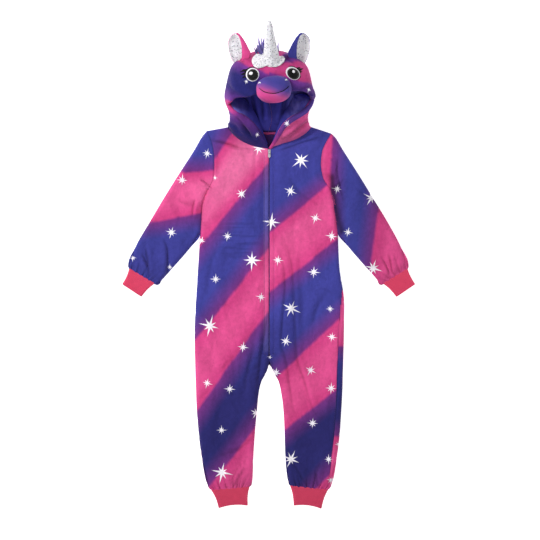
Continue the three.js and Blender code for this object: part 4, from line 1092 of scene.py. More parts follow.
def rolled_edge(line, outward, normals, radius, flat):
    """A strip that carries a sheet's edge over and under in a soft roll."""
    angle = np.linspace(0, ROLL_TURN, ROLL_STEPS)[None, :, None]
    radius = radius[:, None, None]
    rows = (line[:, None] + outward[:, None] * radius * np.sin(angle)
            - normals[:, None] * radius * (1 - np.cos(angle)))
    flat_rows = flat[:, None] + outward[:, None, :2] * radius * angle
    return grid_cloth(rows, flat=flat_rows)


def evened(values, times):
    """Directions evened out along a line, as long as one."""
    for _ in range(times):
        middle = (values[:-2] + 2 * values[1:-1] + values[2:]) / 4
        values = np.vstack([values[:1], middle, values[-1:]])
    return values / np.maximum(np.linalg.norm(values, axis=1, keepdims=True), 1e-9)


def hood_lift(points, normals):
    """How far the hood's folds lift each point of its upper side, or sink it where below nought."""
    lift = fold_heights(points[:, :2], HOOD_FOLDS) + 0.9 * ripple(points[:, :2], 34, 61)
    lift += 1.2 * ripple(points[:, [1, 2]], 52, 62) * (points[:, 2] > 12)
    return lift * ease(0.05, 0.5, normals[:, 2]) * ease(322, 352, points[:, 1]) * ease(3, 14, np.abs(points[:, 0]))


def hood_cloths(side, lower, upper):
    """The hood's outside with its rolled edge, and its lining."""
    flip = side == "left"
    bare = sewn(grid_cloth(lower, flip), grid_cloth(upper, flip))
    share_normals([bare])
    normal_at = {tuple(key): normal for key, normal in zip(place_keys(bare.points), bare.normals)}
    normals_of = lambda points: np.array([normal_at[tuple(key)] for key in place_keys(points)])
    columns = lower.shape[1]
    brow = upper[0, columns:]
    line = np.vstack([lower[:, -1], brow])
    outward = evened(unit(np.vstack([lower[:, -1] - lower[:, -2], brow - upper[1, columns:]])), 6)
    outward[-1, 0] = 0
    reach = run_lengths(line)
    radius = 1.4 + 3.1 * ease(6, 60, reach)
    strip = rolled_edge(line, outward, normals_of(line), radius, line[:, :2])
    if flip:
        strip.faces = strip.faces[:, ::-1]
    outside = sewn(bare, strip)

    lining = sewn(grid_cloth(lower[LINING_START:], flip), grid_cloth(upper, flip))
    lining.normals = normals_of(lining.points)
    near_edge = np.linalg.norm(lining.points[:, None] - line[None], axis=-1).min(1)
    depth = 3.7 + 3.6 * np.exp(-(near_edge / 12) ** 2)
    depth += np.maximum(0, -0.6 - hood_lift(lining.points, lining.normals))
    raised = np.clip(fold_heights(lining.points[:, :2], LINING_FOLDS), -1.2, 14)
    floor = 1 - ease(30, 75, lining.points[:, 2])
    raised = raised * floor * ease(2, 14, near_edge) + 0.5 * (1 + ripple(lining.points[:, :2], 30, 44))
    lining.points = lining.points - lining.normals * (depth + raised)[:, None]
    # Painted shade in the lining's troughs, on its floor away from the edge.
    lining.crease = (1 - ease(-0.6, 4, raised)) * floor * ease(4, 20, near_edge)
    centre = np.abs(lining.flat[:, 0]) < 0.2
    lining.points[centre, 0] = 0
    share_normals([lining])
    FACE_LINES[side] = lower[:, -1]
    return outside, lining


def fold_hood(cloth):
    """Presses the hood's folds into the side of it that faces up."""
    cloth.points = cloth.points + cloth.normals * hood_lift(cloth.points, cloth.normals)[:, None]


# ---------------------------------------------------------------- the print

# Edges of the printed bands, each a line from its lower left to its upper right end.
FRONT_BANDS = {
    "right": [[(-152, 285), (-108, 351)], [(-176, 70), (2, 287)], [(-201, -208), (-4, 42)],
              [(-192, -389), (1, -120)], [(-163, -612), (-45, -458)]],
    "left": [[(32, 111), (153, 210)], [(13, -65), (183, 69)], [(51, -282), (197, -147)],
             [(46, -450), (186, -340)], [(96, -650), (180, -566)]],
}
BACK_BANDS = {
    "right": [[(-180, 190), (0, 390)], [(-200, 20), (0, 190)], [(-200, -190), (0, 10)], [(-200, -340), (0, -170)],
              [(-200, -520), (0, -330)]],
    "left": [[(0, 170), (160, 330)], [(0, -10), (190, 180)], [(10, -250), (205, -98)], [(20, -470), (205, -330)],
             [(30, -620), (190, -470)]],
}
SLEEVE_BANDS = {
    "right": ([[(-240, 252), (-155, 257)], [(-325, 117), (-182, 144)]], 0),
    "left": ([[(166, 200), (172, 355)], [(283, 15), (300, 148)]], 1),
}
HOOD_BANDS = {
    "right": ([[(-130, 572), (-10, 522)], [(-140, 462), (-62, 420)], [(-150, 450), (-72, 408)]], 1),
    "left": ([[(0, 546), (50, 582)], [(0, 545), (60, 551)], [(40, 513), (130, 489)], [(90, 440), (140, 424)]], 1),
}
# Stars: x, y, radius and turn.
FRONT_STARS = [
    (-30, 320, 22, 12), (-76, 194, 19, 48), (-115, 78, 16, 8), (-48, 12, 30, 2), (-147, -40, 16, 0),
    (-23, -89, 16, 10), (-163, -169, 31, 14), (-72, -227, 18, 8), (-171, -326, 16, 14), (-109, -342, 17, 4),
    (-131, -455, 15, 0), (-130, -571, 31, 12), (-37, -408, 19, 30), (-186, 66, 13, 20), (-149, 238, 9, 0),
    (6, 117, 27, 6), (87, 287, 30, 53), (58, 202, 20, 24), (127, 128, 18, 20), (171, 78, 18, 8), (24, 12, 17, 6),
    (122, -21, 20, 4), (60, -120, 28, 26), (167, -122, 13, 0), (46, -210, 19, 18), (172, -199, 16, 10),
    (113, -290, 18, 28), (170, -340, 17, 4), (119, -436, 18, 4), (60, -535, 26, 24), (163, -535, 15, 0),
    (18, -297, 18, 12), (189, -494, 11, 0), (170, -593, 15, 12), (1, -254, 9, 8),
]
BACK_STARS = [
    (-110, 300, 22, 10), (-50, 214, 18, 24), (-150, 150, 26, 4), (-84, 60, 16, 16), (-30, -40, 28, 8),
    (-160, -60, 18, 20), (-96, -150, 20, 0), (-176, -250, 16, 12), (-70, -270, 26, 22), (-140, -380, 18, 6),
    (-80, -470, 22, 14), (-140, -560, 16, 0), (60, 300, 28, 18), (130, 240, 17, 0), (40, 150, 18, 12),
    (150, 110, 24, 6), (90, 20, 17, 20), (30, -100, 18, 8), (160, -90, 28, 14), (90, -200, 20, 4),
    (190, -240, 15, 0), (60, -320, 24, 20), (150, -390, 18, 10), (90, -500, 26, 4), (196, -300, 14, 14),
]
SLEEVE_STARS = [
    (-171, 305, 16, 14), (-239, 232, 18, 4), (-269, 88, 19, 16), (-375, 18, 12, 0), (-273, -7, 10, 0),
    (186, 208, 16, 10), (280, 183, 24, 30), (216, 89, 16, 12), (285, -10, 27, 18),
]
HOOD_STARS = [(-33, 357, 8, 20), (49, 386, 12, 30), (-62, 498, 8, 14), (107, 477, 8, 20)]

# ---------------------------------------------------------------- cloth pieces

FLEECE_CLOTH = printed_fleece("onesie_fleece")
# The hood's print is darker than the garment's, its blue much darker: painted shade over the hood.
HOOD_CLOTH = printed_fleece("hood_fleece", pink="cd4585", deep="b93a78", purple="683084", blue="1f1f62", low="1f1f62",
                            reach=0.036)
# The lining's pale colour is painted light on its walls, and its deep colour painted shade in its creases.
LINING_CLOTH = plain_fleece("hood_lining_fleece", "4a47b4", "2f2f84", 0.35, painted_light_colour="9a92f2", deep="100e38")
INSIDE_CLOTH = plain_fleece("inside_fleece", "43256b", "2a1648")
RIB = rib_knit("cuff_rib")
made = {}


def finish_piece(piece, slot, *nodes):
    """Fixes a piece to the garment, keeps it by name and hides the nodes it stands for. slot is not used."""
    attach(piece, GARMENT)
    if nodes:
        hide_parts(*nodes)
    made[piece.name] = piece
    return piece


def fleece_wall(name, bands, first, stars, material, slot):
    """One of the garment's printed cloths, with painted shade where it is creased, folded, gathered or sewn."""
    cloth = CLOTHS[name]
    points, faces, source = wall_of(cloth, FLEECE / 2, -FLEECE / 2)
    flat = cloth.flat[source]
    stripe = band_position(flat, bands, first)
    if name == "hood_right":
        near, _, along = from_line(flat, FACE_LINES["right"][::3, :2])
        coloured = np.interp(along, [0, 0.4, 0.62, 0.8, 0.95], [-0.034, -0.022, -0.01, -0.002, 0.004])
        stripe += (coloured - stripe) * np.exp(-(near / 9) ** 4)
    if name == "front_left":
        _, past, _ = from_line(flat, refined(SIDE_STRIP, 8))
        strip = band_position(flat, [[(150, -224), (220, -224)], [(150, -472), (220, -472)]], 1)
        stripe = np.where((past > 0) & (flat[:, 0] > 150) & (flat[:, 1] < -70), strip, stripe)
    part, side = name.split("_")
    # Painted shade beside the folds, along the shaded lines, the seams and the gathers.
    crease = 0.7 * trough_shade(flat, {"back": BACK_FOLDS, "hood": HOOD_FOLDS}.get(part, FOLDS))
    for line, deep, wide in SHADES.get(part, []):
        near = from_line(flat, refined(line, 4))[0]
        crease = np.maximum(crease, deep * np.exp(-(near / wide) ** 2))
    if part != "hood":
        neck = SHOULDER[side][:5, :2] if part == "front" else [[0, 360], [0, 355]]
        seams = [signed(side, line) for line in (refined(SHOULDER[side][:, 4:], 5), refined(neck, 6))]
        if name == "front_left":
            seams.append(refined(SIDE_STRIP, 8))
        for seam in seams:
            crease = np.maximum(crease, 0.75 * np.exp(-(from_line(flat, seam)[0] / 1.5) ** 2))
        gathers = gather_heights(flat, cuff_seams(side), 21) * (-0.16 if part == "sleeve" else -0.32)
        crease = np.maximum(crease, np.clip(gathers, 0, 0.7))
    piece = mesh_piece(f"{name}_cloth", points, faces, material, flat, stripe, stars, inside=INSIDE_CLOTH,
                       crease=crease)
    finish_piece(piece, slot, name)


def sew_garment():
    """Every cloth of the garment as a sheet, with normals that meet at the seams."""
    cloths = {}
    for side in SIDES:
        left = side == "left"
        cuts, count, centre_back, zip_top = body_cuts(side)
        front, back = body_layer(side, "front", cuts), body_layer(side, "back", cuts)
        cloths[f"front_{side}"] = grid_cloth(front, flip=left)
        cloths[f"back_{side}"] = grid_cloth(back, flip=not left)
        cloths[f"sleeve_{side}"] = grid_cloth(sleeve_rows(side, front, back, count), flip=not left, closed=True)
        neckline = np.vstack([back[:centre_back + 1, 0][::-1], front[1:zip_top + 1, 0]])
        cloths[f"hood_{side}"], cloths[f"hood_lining_{side}"] = hood_cloths(side, *hood_rows(side, neckline))
    skin = [cloth for name, cloth in cloths.items() if "lining" not in name]
    share_normals(skin)
    for side in SIDES:
        fold_hood(cloths[f"hood_{side}"])
    share_normals(skin)
    share_normals([cloths["hood_lining_right"], cloths["hood_lining_left"]])
    return cloths


CLOTHS = sew_garment()
for SIDE in SIDES:
    fleece_wall(f"front_{SIDE}", FRONT_BANDS[SIDE], 0, FRONT_STARS, FLEECE_CLOTH, "fleece_pink")
    fleece_wall(f"back_{SIDE}", BACK_BANDS[SIDE], 0, BACK_STARS, FLEECE_CLOTH, "fleece_blue")
    fleece_wall(f"sleeve_{SIDE}", *SLEEVE_BANDS[SIDE], SLEEVE_STARS, FLEECE_CLOTH, "fleece_blue")
    fleece_wall(f"hood_{SIDE}", *HOOD_BANDS[SIDE], HOOD_STARS, HOOD_CLOTH, "fleece_purple")
    LINER = CLOTHS[f"hood_lining_{SIDE}"]
    POINTS, FACES, SOURCE = wall_of(LINER, LINING / 2, -LINING / 2)
    finish_piece(mesh_piece(f"hood_lining_{SIDE}_cloth", POINTS, FACES, LINING_CLOTH, LINER.flat[SOURCE],
                            LINER.crease[SOURCE]), "lining", f"hood_lining_{SIDE}")

GUSSET_TOP, GUSSET_FALL, GUSSET_NOTCH = -254, 32, 11  # where it starts, how long it is and how deep it is cut out
GUSSET_HALF, GUSSET_NARROWS = 13, 4


def crotch_gusset():
    """The back's cloth that shows in shade where the legs part, coloured near black as painted shade."""
    rows = []
    for down in np.linspace(0, 1, 12):
        half = GUSSET_HALF - GUSSET_NARROWS * down
        x = np.linspace(-half, half, 15)
        y = GUSSET_TOP - GUSSET_FALL * down + GUSSET_NOTCH * down * (1 - np.abs(x) / half)
        rows.append(np.column_stack([x, y, 3.0 + 0.5 * np.cos(x / 4)]))
    # Near black: painted shade in the notch between the legs.
    piece = walled_piece("crotch_gusset_cloth", facing_up(grid_cloth(np.array(rows), flip=True)), 1.0, -1.0,
                         plain_fleece("gusset_painted_shade", "1d1746", "0c0a26"))
    finish_piece(piece, "fleece_blue")


# ---------------------------------------------------------------- rib cuffs

RIB_PITCH = 3.1
RIB_RELIEF = 0.38
CUFF_WALL = 2.0  # half the thickness of the doubled rib
CUFF_ROUND = 3.0  # how round the flattened tube is at its edges


def flat_tube(top, under, columns, arch=0.0):
    """A flattened tube's cross-cut between two folded edges, evenly spaced, with its outward directions."""
    way = under - top
    width = np.linalg.norm(way)
    way = way / width
    level, bend = width - 2 * CUFF_ROUND, math.pi * CUFF_ROUND
    around = 2 * level + 2 * bend
    s = np.arange(columns) / columns * around
    x, z, out_x, out_z = (np.zeros(columns) for _ in range(4))
    front = s < level
    far = (s >= level) & (s < level + bend)
    back = (s >= level + bend) & (s < 2 * level + bend)
    near = s >= 2 * level + bend
    x[front], z[front], out_z[front] = CUFF_ROUND + s[front], CUFF_ROUND, 1
    turn = (s[far] - level) / CUFF_ROUND
    x[far], z[far] = width - CUFF_ROUND + CUFF_ROUND * np.sin(turn), CUFF_ROUND * np.cos(turn)
    out_x[far], out_z[far] = np.sin(turn), np.cos(turn)
    x[back], z[back], out_z[back] = width - CUFF_ROUND - (s[back] - level - bend), -CUFF_ROUND, -1
    turn = (s[near] - 2 * level - bend) / CUFF_ROUND
    x[near], z[near] = CUFF_ROUND - CUFF_ROUND * np.sin(turn), -CUFF_ROUND * np.cos(turn)
    out_x[near], out_z[near] = -np.sin(turn), -np.cos(turn)
    lean = np.array([-way[1], way[0]]) * np.sign(way[0] or 1)
    bowed = arch * (1 - (2 * x / width - 1) ** 2)
    points = np.column_stack([top + way * x[:, None] + lean * bowed[:, None], EDGE_Z + z])
    return points, np.column_stack([way * out_x[:, None], out_z])


def rib_cuff(name, seam, end, arch=0.0):
    """A doubled cuff: out along its face, round its fold and back inside, with upright ribs all round."""
    ribs = round((2 * np.linalg.norm(seam[1] - seam[0]) + 10) / RIB_PITCH)
    columns = ribs * 6
    rows, flat = [], []
    down = end.mean(axis=0) - seam.mean(axis=0)
    length = np.linalg.norm(down)
    down = down / length
    steps = [(part, 1, 0) for part in np.linspace(-0.03, 1, 20)]
    steps += [(1, math.cos(turn), math.sin(turn)) for turn in np.linspace(0, math.pi, 9)[1:-1]]
    steps += [(part, -1, 0) for part in np.linspace(1, -0.03, 8)]
    for part, level, reach in steps:
        held = 1 - 0.06 * math.sin(math.pi * min(max(part, 0), 1))
        top, under = (seam[i] + (end[i] - seam[i]) * part for i in (0, 1))
        middle = (top + under) / 2
        top, under = middle + (top - middle) * held, middle + (under - middle) * held
        points, out = flat_tube(top, under, columns, arch * max(part, 0) ** 1.5)
        wave = RIB_RELIEF * np.cos(math.tau * ribs * np.arange(columns) / columns)
        points = points + out * (CUFF_WALL * level * 0.8 + wave * (1 if level > 0 else 0.4))[:, None]
        points[:, :2] += down * (CUFF_WALL * 0.8 * reach)
        rows.append(points)
        flat.append(np.column_stack([np.arange(columns) / columns * ribs * RIB_PITCH, np.full(columns, part * length)]))
    rows, flat = np.stack(rows), np.stack(flat)
    cloth = grid_cloth(rows, closed=True, flat=flat)
    last = (len(rows) - 1) * columns
    ring = np.arange(columns)
    following = (ring + 1) % columns
    cap = np.stack([last + ring, last + following, following, ring], axis=-1)
    piece = mesh_piece(f"{name}_rib", cloth.points, np.vstack([cloth.faces, cap]), RIB, cloth.flat, sharp=0)
    point_outwards(piece)
    finish_piece(piece, "rib", name)


for SIDE in SIDES:
    PAIR = lambda four: signed(SIDE, [four[:2], four[2:]])
    rib_cuff(f"wrist_cuff_{SIDE}", PAIR(SLEEVE[SIDE][-1]), PAIR(WRIST_END[SIDE]))
    rib_cuff(f"ankle_cuff_{SIDE}", PAIR(LEGS[SIDE][-1]), PAIR(ANKLE_END[SIDE]), ANKLE_ARCH)

crotch_gusset()

# ---------------------------------------------------------------- what is sewn on the hood

FACE_TILT = math.radians(4.5)  # the face is turned a little on the hood


def tree_of(names):
    """What a ray can hit of some pieces, in millimetres."""
    points, faces, start = [], [], 0
    for name in names:
        mesh = made[name].data
        points += [tuple(v.co / MM) for v in mesh.vertices]
        faces += [[i + start for i in face.vertices] for face in mesh.polygons]
        start += len(mesh.vertices)
    return BVHTree.FromPolygons(points, faces)


HOOD_TREE = tree_of(["hood_right_cloth", "hood_left_cloth"])


def over(tree, x, y):
    """The highest point of a form over a place, with the way it faces."""
    hit, normal, _, _ = tree.ray_cast(Vector((x, y, 400)), Vector((0, 0, -1)))
    return (None, None) if hit is None else (np.array(hit), np.array(normal))


def turned(x, y, middle, angle=FACE_TILT):
    """A place turned about a middle, with the face's own tilt where no angle is given."""
    dx, dy = x - middle[0], y - middle[1]
    return (middle[0] + dx * math.cos(angle) - dy * math.sin(angle),
            middle[1] + dx * math.sin(angle) + dy * math.cos(angle))


def faces_between_poles(spokes, rings):
    """Faces of a form that runs from one point over rings of points to another point."""
    faces, last = [], 1 + rings * spokes
    for i in range(spokes):
        j = (i + 1) % spokes
        faces.append([0, 1 + i, 1 + j, 0])
        for a in range(1, last - spokes, spokes):
            faces.append([a + i, a + spokes + i, a + spokes + j, a + j])
        faces.append([last - spokes + i, last, last - spokes + j, last - spokes + i])
    return faces


def domed_patch(name, tree, middle, radii, tilt, lift, rise, material, rings=9, spokes=56):
    """A patch sewn on a form: its edge lies on the form and its middle is raised."""
    angles = np.arange(spokes) / spokes * math.tau
    top, normals = [], []
    sizes = np.sin(np.linspace(0, math.pi / 2, rings))[1:]
    for size in sizes:
        for angle in angles:
            x, y = turned(middle[0] + size * radii[0] * math.cos(angle),
                          middle[1] + size * radii[1] * math.sin(angle), middle, FACE_TILT + tilt)
            hit, normal = over(tree, x, y)
            top.append((hit, size))
            normals.append(normal)
    way = np.mean(normals, axis=0)
    way /= np.linalg.norm(way)
    centre, _ = over(tree, *middle)
    crown = lambda size: lift + rise * (1 - size**4) ** 0.5
    points = [centre + way * crown(0)] + [hit + way * crown(size) for hit, size in top]
    points += [hit + way * (lift - 0.8) for hit, size in top[-spokes:]] + [centre + way * (lift - 0.8)]
    piece = mesh_piece(name, np.array(points), faces_between_poles(spokes, rings), material, sharp=60)
    point_outwards(piece)
    return piece


def satin_strip(name, tree, line, widths, lift, rise, material, steps=8):
    """A raised line of satin stitch along a line of places on a form."""
    line = refined(np.asarray(line, float), steps)
    widths = np.interp(np.linspace(0, 1, len(line)), np.linspace(0, 1, len(widths)), widths)
    way = unit(np.gradient(line, axis=0))
    side = np.column_stack([-way[:, 1], way[:, 0]])
    across = np.cos(np.linspace(math.pi, 0, 7))
    rows = []
    for place, out, width in zip(line, side, widths):
        row, below = [], []
        for part in across:
            hit, normal = over(tree, *(place + out * part * width / 2))
            if hit is None:
                hit, normal = over(tree, *place)
            normal = normal if normal[2] > 0.15 else np.array([0, 0, 1.0])
            row.append(hit + normal * (lift + rise * math.sqrt(1 - part * part)))
            below.append(hit - normal * 0.6)
        rows.append(row + below[::-1])
    rows = np.array(rows)
    cloth = grid_cloth(rows, closed=True)
    columns = rows.shape[1]
    caps = []
    for start in (0, (len(rows) - 1) * columns):
        for i in range(6):
            caps.append([start + i, start + i + 1, start + columns - 2 - i, start + columns - 1 - i])
    piece = mesh_piece(name, cloth.points, np.vstack([cloth.faces, caps]), material, sharp=60)
    point_outwards(piece)
    return piece


# ---- the cloth rolled out beside the face


def opening_edge(side):
    """The hood's edge from the zip up to the brow, the way away from the face, and how far along each place is."""
    line = refined(FACE_LINES[side][::4], 3)
    way = unit(np.gradient(line[:, :2], axis=0))
    out = np.column_stack([way[:, 1], -way[:, 0]])
    out *= np.where(out[:, :1] * SIDES[side] > 0, 1, -1)
    return line, out, run_lengths(line) / run_lengths(line)[-1]


ROLL_COLUMNS = 17


def face_roll(side, widths, rise, material, slot, stripe):
    """Lining rolled out over the hood's edge: a soft band that follows the opening."""
    line, out, part = opening_edge(side)
    width = np.interp(part, *np.transpose(widths))
    rows = []
    for place, away, wide in zip(line, out, width):
        row = []
        reach_in = 3.0 + 0.35 * wide
        for share in np.linspace(0, 1, ROLL_COLUMNS):
            far = share * (wide + reach_in) - reach_in
            x, y = place[:2] + away * far
            found = [over(HOOD_TREE, *(place[:2] + away * max(1.0, far + more)))[0] for more in (0, 3)]
            base = max([hit[2] for hit in found if hit is not None] + [place[2]])
            swollen = min(rise, 0.45 * wide) * math.sin(math.pi * min(1, share * 0.8 + 0.2)) ** 0.6
            row.append((x, y, base + 1.2 + swollen - 0.35 * (wide + 3) * max(0, 1 - share * 2.4) ** 2))
        rows.append(row)
    roll = facing_up(grid_cloth(settled(rows, 8)))
    inside_band = np.interp(np.repeat(part, ROLL_COLUMNS), [0, 0.25, 0.5, 0.8], stripe)
    finish_piece(walled_piece(f"face_roll_{side}_cloth", roll, 1.0, -0.6, material, inside_band, HOOD_STARS), slot)


face_roll("left", [(0, 2.5), (0.15, 4.5), (0.4, 6), (0.62, 8), (0.8, 8), (0.92, 5), (1, 1.5)], 4.5, FLEECE_CLOTH,
          "fleece_blue", [0.001, -0.004, -0.024, -0.034])

# ---- muzzle

MUZZLE = np.array([12.5, 477.0, 144.0])
MUZZLE_HALF = np.array([51.5, 40.5, 44.0])
MUZZLE_POWER = 2.5  # how square it is
MUZZLE_SPOKES, MUZZLE_RINGS = 64, 40
MUZZLE_SWELL = 3.0  # what the stuffing adds


def squared_ball(spokes, rings, power):
    """Points of a ball pressed towards a rounded box, from its top to its bottom."""
    points = [(0, 0, 1)]
    for ring in range(1, rings):
        down = math.pi * ring / rings
        for spoke in range(spokes):
            turn = math.tau * spoke / spokes
            points.append((math.sin(down) * math.cos(turn), math.sin(down) * math.sin(turn), math.cos(down)))
    points = np.array(points + [(0, 0, -1)])
    return points / (np.abs(points) ** power).sum(1, keepdims=True) ** (1 / power)


def swell(piece, pressure, cap, frames=20):
    """Fills a closed form as stuffing would: cloth under pressure, held to a few millimetres of movement."""
    scene = bpy.context.scene
    remesh = piece.modifiers.new("even cloth", "REMESH")
    remesh.mode, remesh.voxel_size = "VOXEL", 0.0042
    material = piece.data.materials[0]
    mesh = applied(piece)
    mesh.materials.clear()
    mesh.materials.append(material)
    before = points_of(mesh)
    cloth = piece.modifiers.new("stuffing", "CLOTH")
    cloth.settings.use_pressure = True
    cloth.settings.uniform_pressure_force = pressure
    cloth.settings.effector_weights.gravity = 0
    cloth.settings.quality = 6
    cloth.point_cache.frame_start, cloth.point_cache.frame_end = 1, frames
    for number in range(1, frames + 1):
        scene.frame_set(number)
    move = points_of(piece.evaluated_get(bpy.context.evaluated_depsgraph_get()).data) - before
    piece.modifiers.clear()
    scene.frame_set(1)
    far = np.linalg.norm(move, axis=1, keepdims=True)
    move *= np.minimum(1, cap * MM / np.maximum(far, 1e-9))
    mesh.vertices.foreach_set("co", (before + move).ravel())
    smooth_mesh = piece.modifiers.new("soft", "SUBSURF")
    smooth_mesh.levels = smooth_mesh.render_levels = 1
    applied(piece).shade_smooth()


MOUTH = [(-40, 6.5), (-33, -1), (-20, -8.5), (-2, -12), (19, -9), (35, -1), (42, 6)]  # from the muzzle's middle


def muzzle_cloth():
    """Fleece blue at the top of the muzzle and pink below, darker at its bottom as painted shade."""
    n = brushed("muzzle_fleece", 0.3, "d8a8dc", 0.9, 0.15, 0.45)
    place = n.place()
    nap = n.group(NAP, Vector=place)
    parts = n.parts(n.mapped(place, Location=tuple(-MUZZLE * MM)))
    slope = n.plus(n.times(parts[0], 10.0), n.times(parts[1], 27.0))
    part = n.plus(slope, n.times(n.minus(nap["Shade"], 0.5), 0.3))
    ramp = n.add("ShaderNodeValToRGB", {"Fac": n.add("ShaderNodeMapRange", {
        "Value": part, "From Min": -1.12, "From Max": 0.55}).outputs["Result"]})
    # The first stop, darkest at the muzzle's bottom, is painted shade.
    stops = [(0.0, "a03576"), (0.2, "c74285"), (0.42, "bb4b8b"), (0.58, "834691"), (0.76, "504090"), (1.0, "3d3a88")]
    while len(ramp.color_ramp.elements) < len(stops):
        ramp.color_ramp.elements.new(0.5)
    for element, (position, code) in zip(ramp.color_ramp.elements, stops):
        element.position, element.color = position, colour(code)
    return n.dressed(n.lit(ramp.outputs[0], n.plus(0.86, n.times(nap["Shade"], 0.26))),
                     n.minus(0.97, n.times(nap["Shade"], 0.15)), bump(n, nap["Height"], 0.001, 0.6))


def muzzle_piece():
    """The stuffed muzzle, narrower below, with the mouth pressed in."""
    points = squared_ball(MUZZLE_SPOKES, MUZZLE_RINGS, MUZZLE_POWER) * (MUZZLE_HALF - MUZZLE_SWELL)
    low = np.clip(-points[:, 1] / MUZZLE_HALF[1], 0, 1)
    points[:, 0] *= 1 - 0.1 * low ** 2
    turn = np.array(Matrix.Rotation(FACE_TILT, 3, "Z"))
    piece = mesh_piece("muzzle_pad", points @ turn.T + MUZZLE, faces_between_poles(MUZZLE_SPOKES, MUZZLE_RINGS - 1),
                       muzzle_cloth(), sharp=0)
    point_outwards(piece)
    swell(piece, 4.0, MUZZLE_SWELL + 1.5)
    mesh = piece.data
    places, normals = points_of(mesh) / MM, points_of(mesh, "normal")
    local = (places - MUZZLE) @ turn
    smile = refined(np.array(MOUTH, float), 8)
    near, _, along = from_line(local[:, :2], smile)
    front = local[:, 2] > 0
    press = 2.6 * np.exp(-(near / 3.4) ** 2) * front * np.clip(6 * np.minimum(along, 1 - along) + 0.35, 0, 1)
    press += 0.5 * (1 - ripple(places[:, :2], 26, 71)) * 0.5
    places = places - normals * press[:, None]
    mesh.vertices.foreach_set("co", (places * MM).ravel())
    mesh.update()
    finish_piece(piece, "fleece_purple", "muzzle")


BLACK_SATIN = stitched_felt("black_satin_stitch", "0b0a0f", "020203", gloss=0.15, sheen=0.0)
WHITE_FELT = stitched_felt("white_satin_stitch", "fbfafc", "d9d6de")
muzzle_piece()
MUZZLE_TREE = tree_of(["muzzle_pad"])


def on_muzzle(x, y):
    """A place given from the muzzle's middle."""
    return turned(MUZZLE[0] + x, MUZZLE[1] + y, MUZZLE[:2])


finish_piece(satin_strip("smile", MUZZLE_TREE, [on_muzzle(x, y) for x, y in MOUTH], [0.8, 2.2, 2.3, 2.3, 2.3, 2.2, 0.8],
                         0.1, 0.7, BLACK_SATIN), "felt_black")
NOSTRILS = {"right": [(-41, 18.5), (-37.5, 21), (-34, 19)], "left": [(32, 21), (35.5, 23), (39, 21.5)]}
for SIDE, LINE in NOSTRILS.items():
    finish_piece(satin_strip(f"nostril_{SIDE}", MUZZLE_TREE, [on_muzzle(x, y) for x, y in LINE], [0.8, 4.2, 1.0],
                             0.1, 0.6, WHITE_FELT), "felt_white")

# ---- eyes

EYES = {  # middle, radii and tilt of each patch
    "right": {"white": ((-45.4, 516.8), (18.2, 18.4), 0.0), "iris": ((-45.0, 516.2), (15.2, 16.0), 0.0),
              "pupil": ((-45.0, 516.0), (11.6, 12.4), 0.0), "glint": ((-50.0, 520.6), (5.4, 4.3), 0.25)},
    "left": {"white": ((64.0, 520.6), (20.6, 16.4), -0.7), "iris": ((65.4, 519.5), (17.6, 14.3), -0.66),
             "pupil": ((65.6, 519.2), (13.4, 10.8), -0.66), "glint": ((66.4, 525.6), (3.4, 4.4), 0.3)},
}
LASHES = {
    "right": [([(-27, 532), (-35, 536.5), (-46, 537.5), (-56, 534), (-63, 526), (-65.5, 516), (-63, 507)],
               [0.8, 1.6, 2.2, 3.6, 4.8, 3.6, 1]),
              ([(-61, 528), (-69, 528.5), (-79, 525)], [9, 6.5, 1.2]),
              ([(-63, 521), (-70, 519.5), (-77, 517)], [8, 5.5, 1]),
              ([(-64, 514), (-69, 511), (-73, 508)], [7, 4.5, 1])],
    "left": [([(53, 539), (60, 540), (68.5, 537.5), (77, 528), (83, 517.5), (84, 511), (79, 505)],
              [0.8, 1.6, 3, 4.2, 3.6, 2.4, 1]),
             ([(74, 533), (79, 535.5), (84, 538)], [7, 5, 1]), ([(76, 529), (84, 531.5), (92, 534.5)], [9, 7, 1.2]),
             ([(79, 523.5), (84, 525), (89.5, 526)], [8, 5.5, 1])],
}
IRIS_SATIN = stitched_felt("iris_satin_stitch", "2b2a22", "100f0d")
for SIDE, PARTS in EYES.items():
    finish_piece(domed_patch(f"eye_white_{SIDE}_patch", HOOD_TREE, *PARTS["white"], 1.2, 1.6, WHITE_FELT),
                 "felt_white", f"eye_white_{SIDE}")
    finish_piece(domed_patch(f"eye_iris_{SIDE}_patch", tree_of([f"eye_white_{SIDE}_patch"]), *PARTS["iris"], 0.3, 0.9,
                             IRIS_SATIN), "felt_black", f"eye_pupil_{SIDE}")
    finish_piece(domed_patch(f"eye_pupil_{SIDE}_patch", tree_of([f"eye_iris_{SIDE}_patch"]), *PARTS["pupil"], 0.1, 0.5,
                             BLACK_SATIN), "felt_black")
    EYE_TREE = tree_of([f"eye_iris_{SIDE}_patch", f"eye_pupil_{SIDE}_patch"])
    finish_piece(domed_patch(f"eye_glint_{SIDE}", EYE_TREE, *PARTS["glint"], 0.2, 0.6, WHITE_FELT, rings=6, spokes=28),
                 "felt_white")
    for NUMBER, (LINE, WIDTHS) in enumerate(LASHES[SIDE], 1):
        finish_piece(satin_strip(f"lash_{SIDE}_{NUMBER}", HOOD_TREE, LINE, WIDTHS, 0.5, 0.9, BLACK_SATIN), "felt_black")

# ---- horn

GLITTER = glitter_cloth()
HORN_BASE = (5, 559)
HORN_TIP = np.array([0.6, 662.0, 192.0])
HORN_PROFILE = [[-0.12, 26], [0, 24], [0.1, 21.6], [0.26, 18.8], [0.52, 14.6], [0.77, 10.4], [0.92, 7.4],
                [0.975, 5], [1, 0.8]]  # how far along, and how thick there
HORN_TURNS = 4.4
HORN_SPOKES = 120


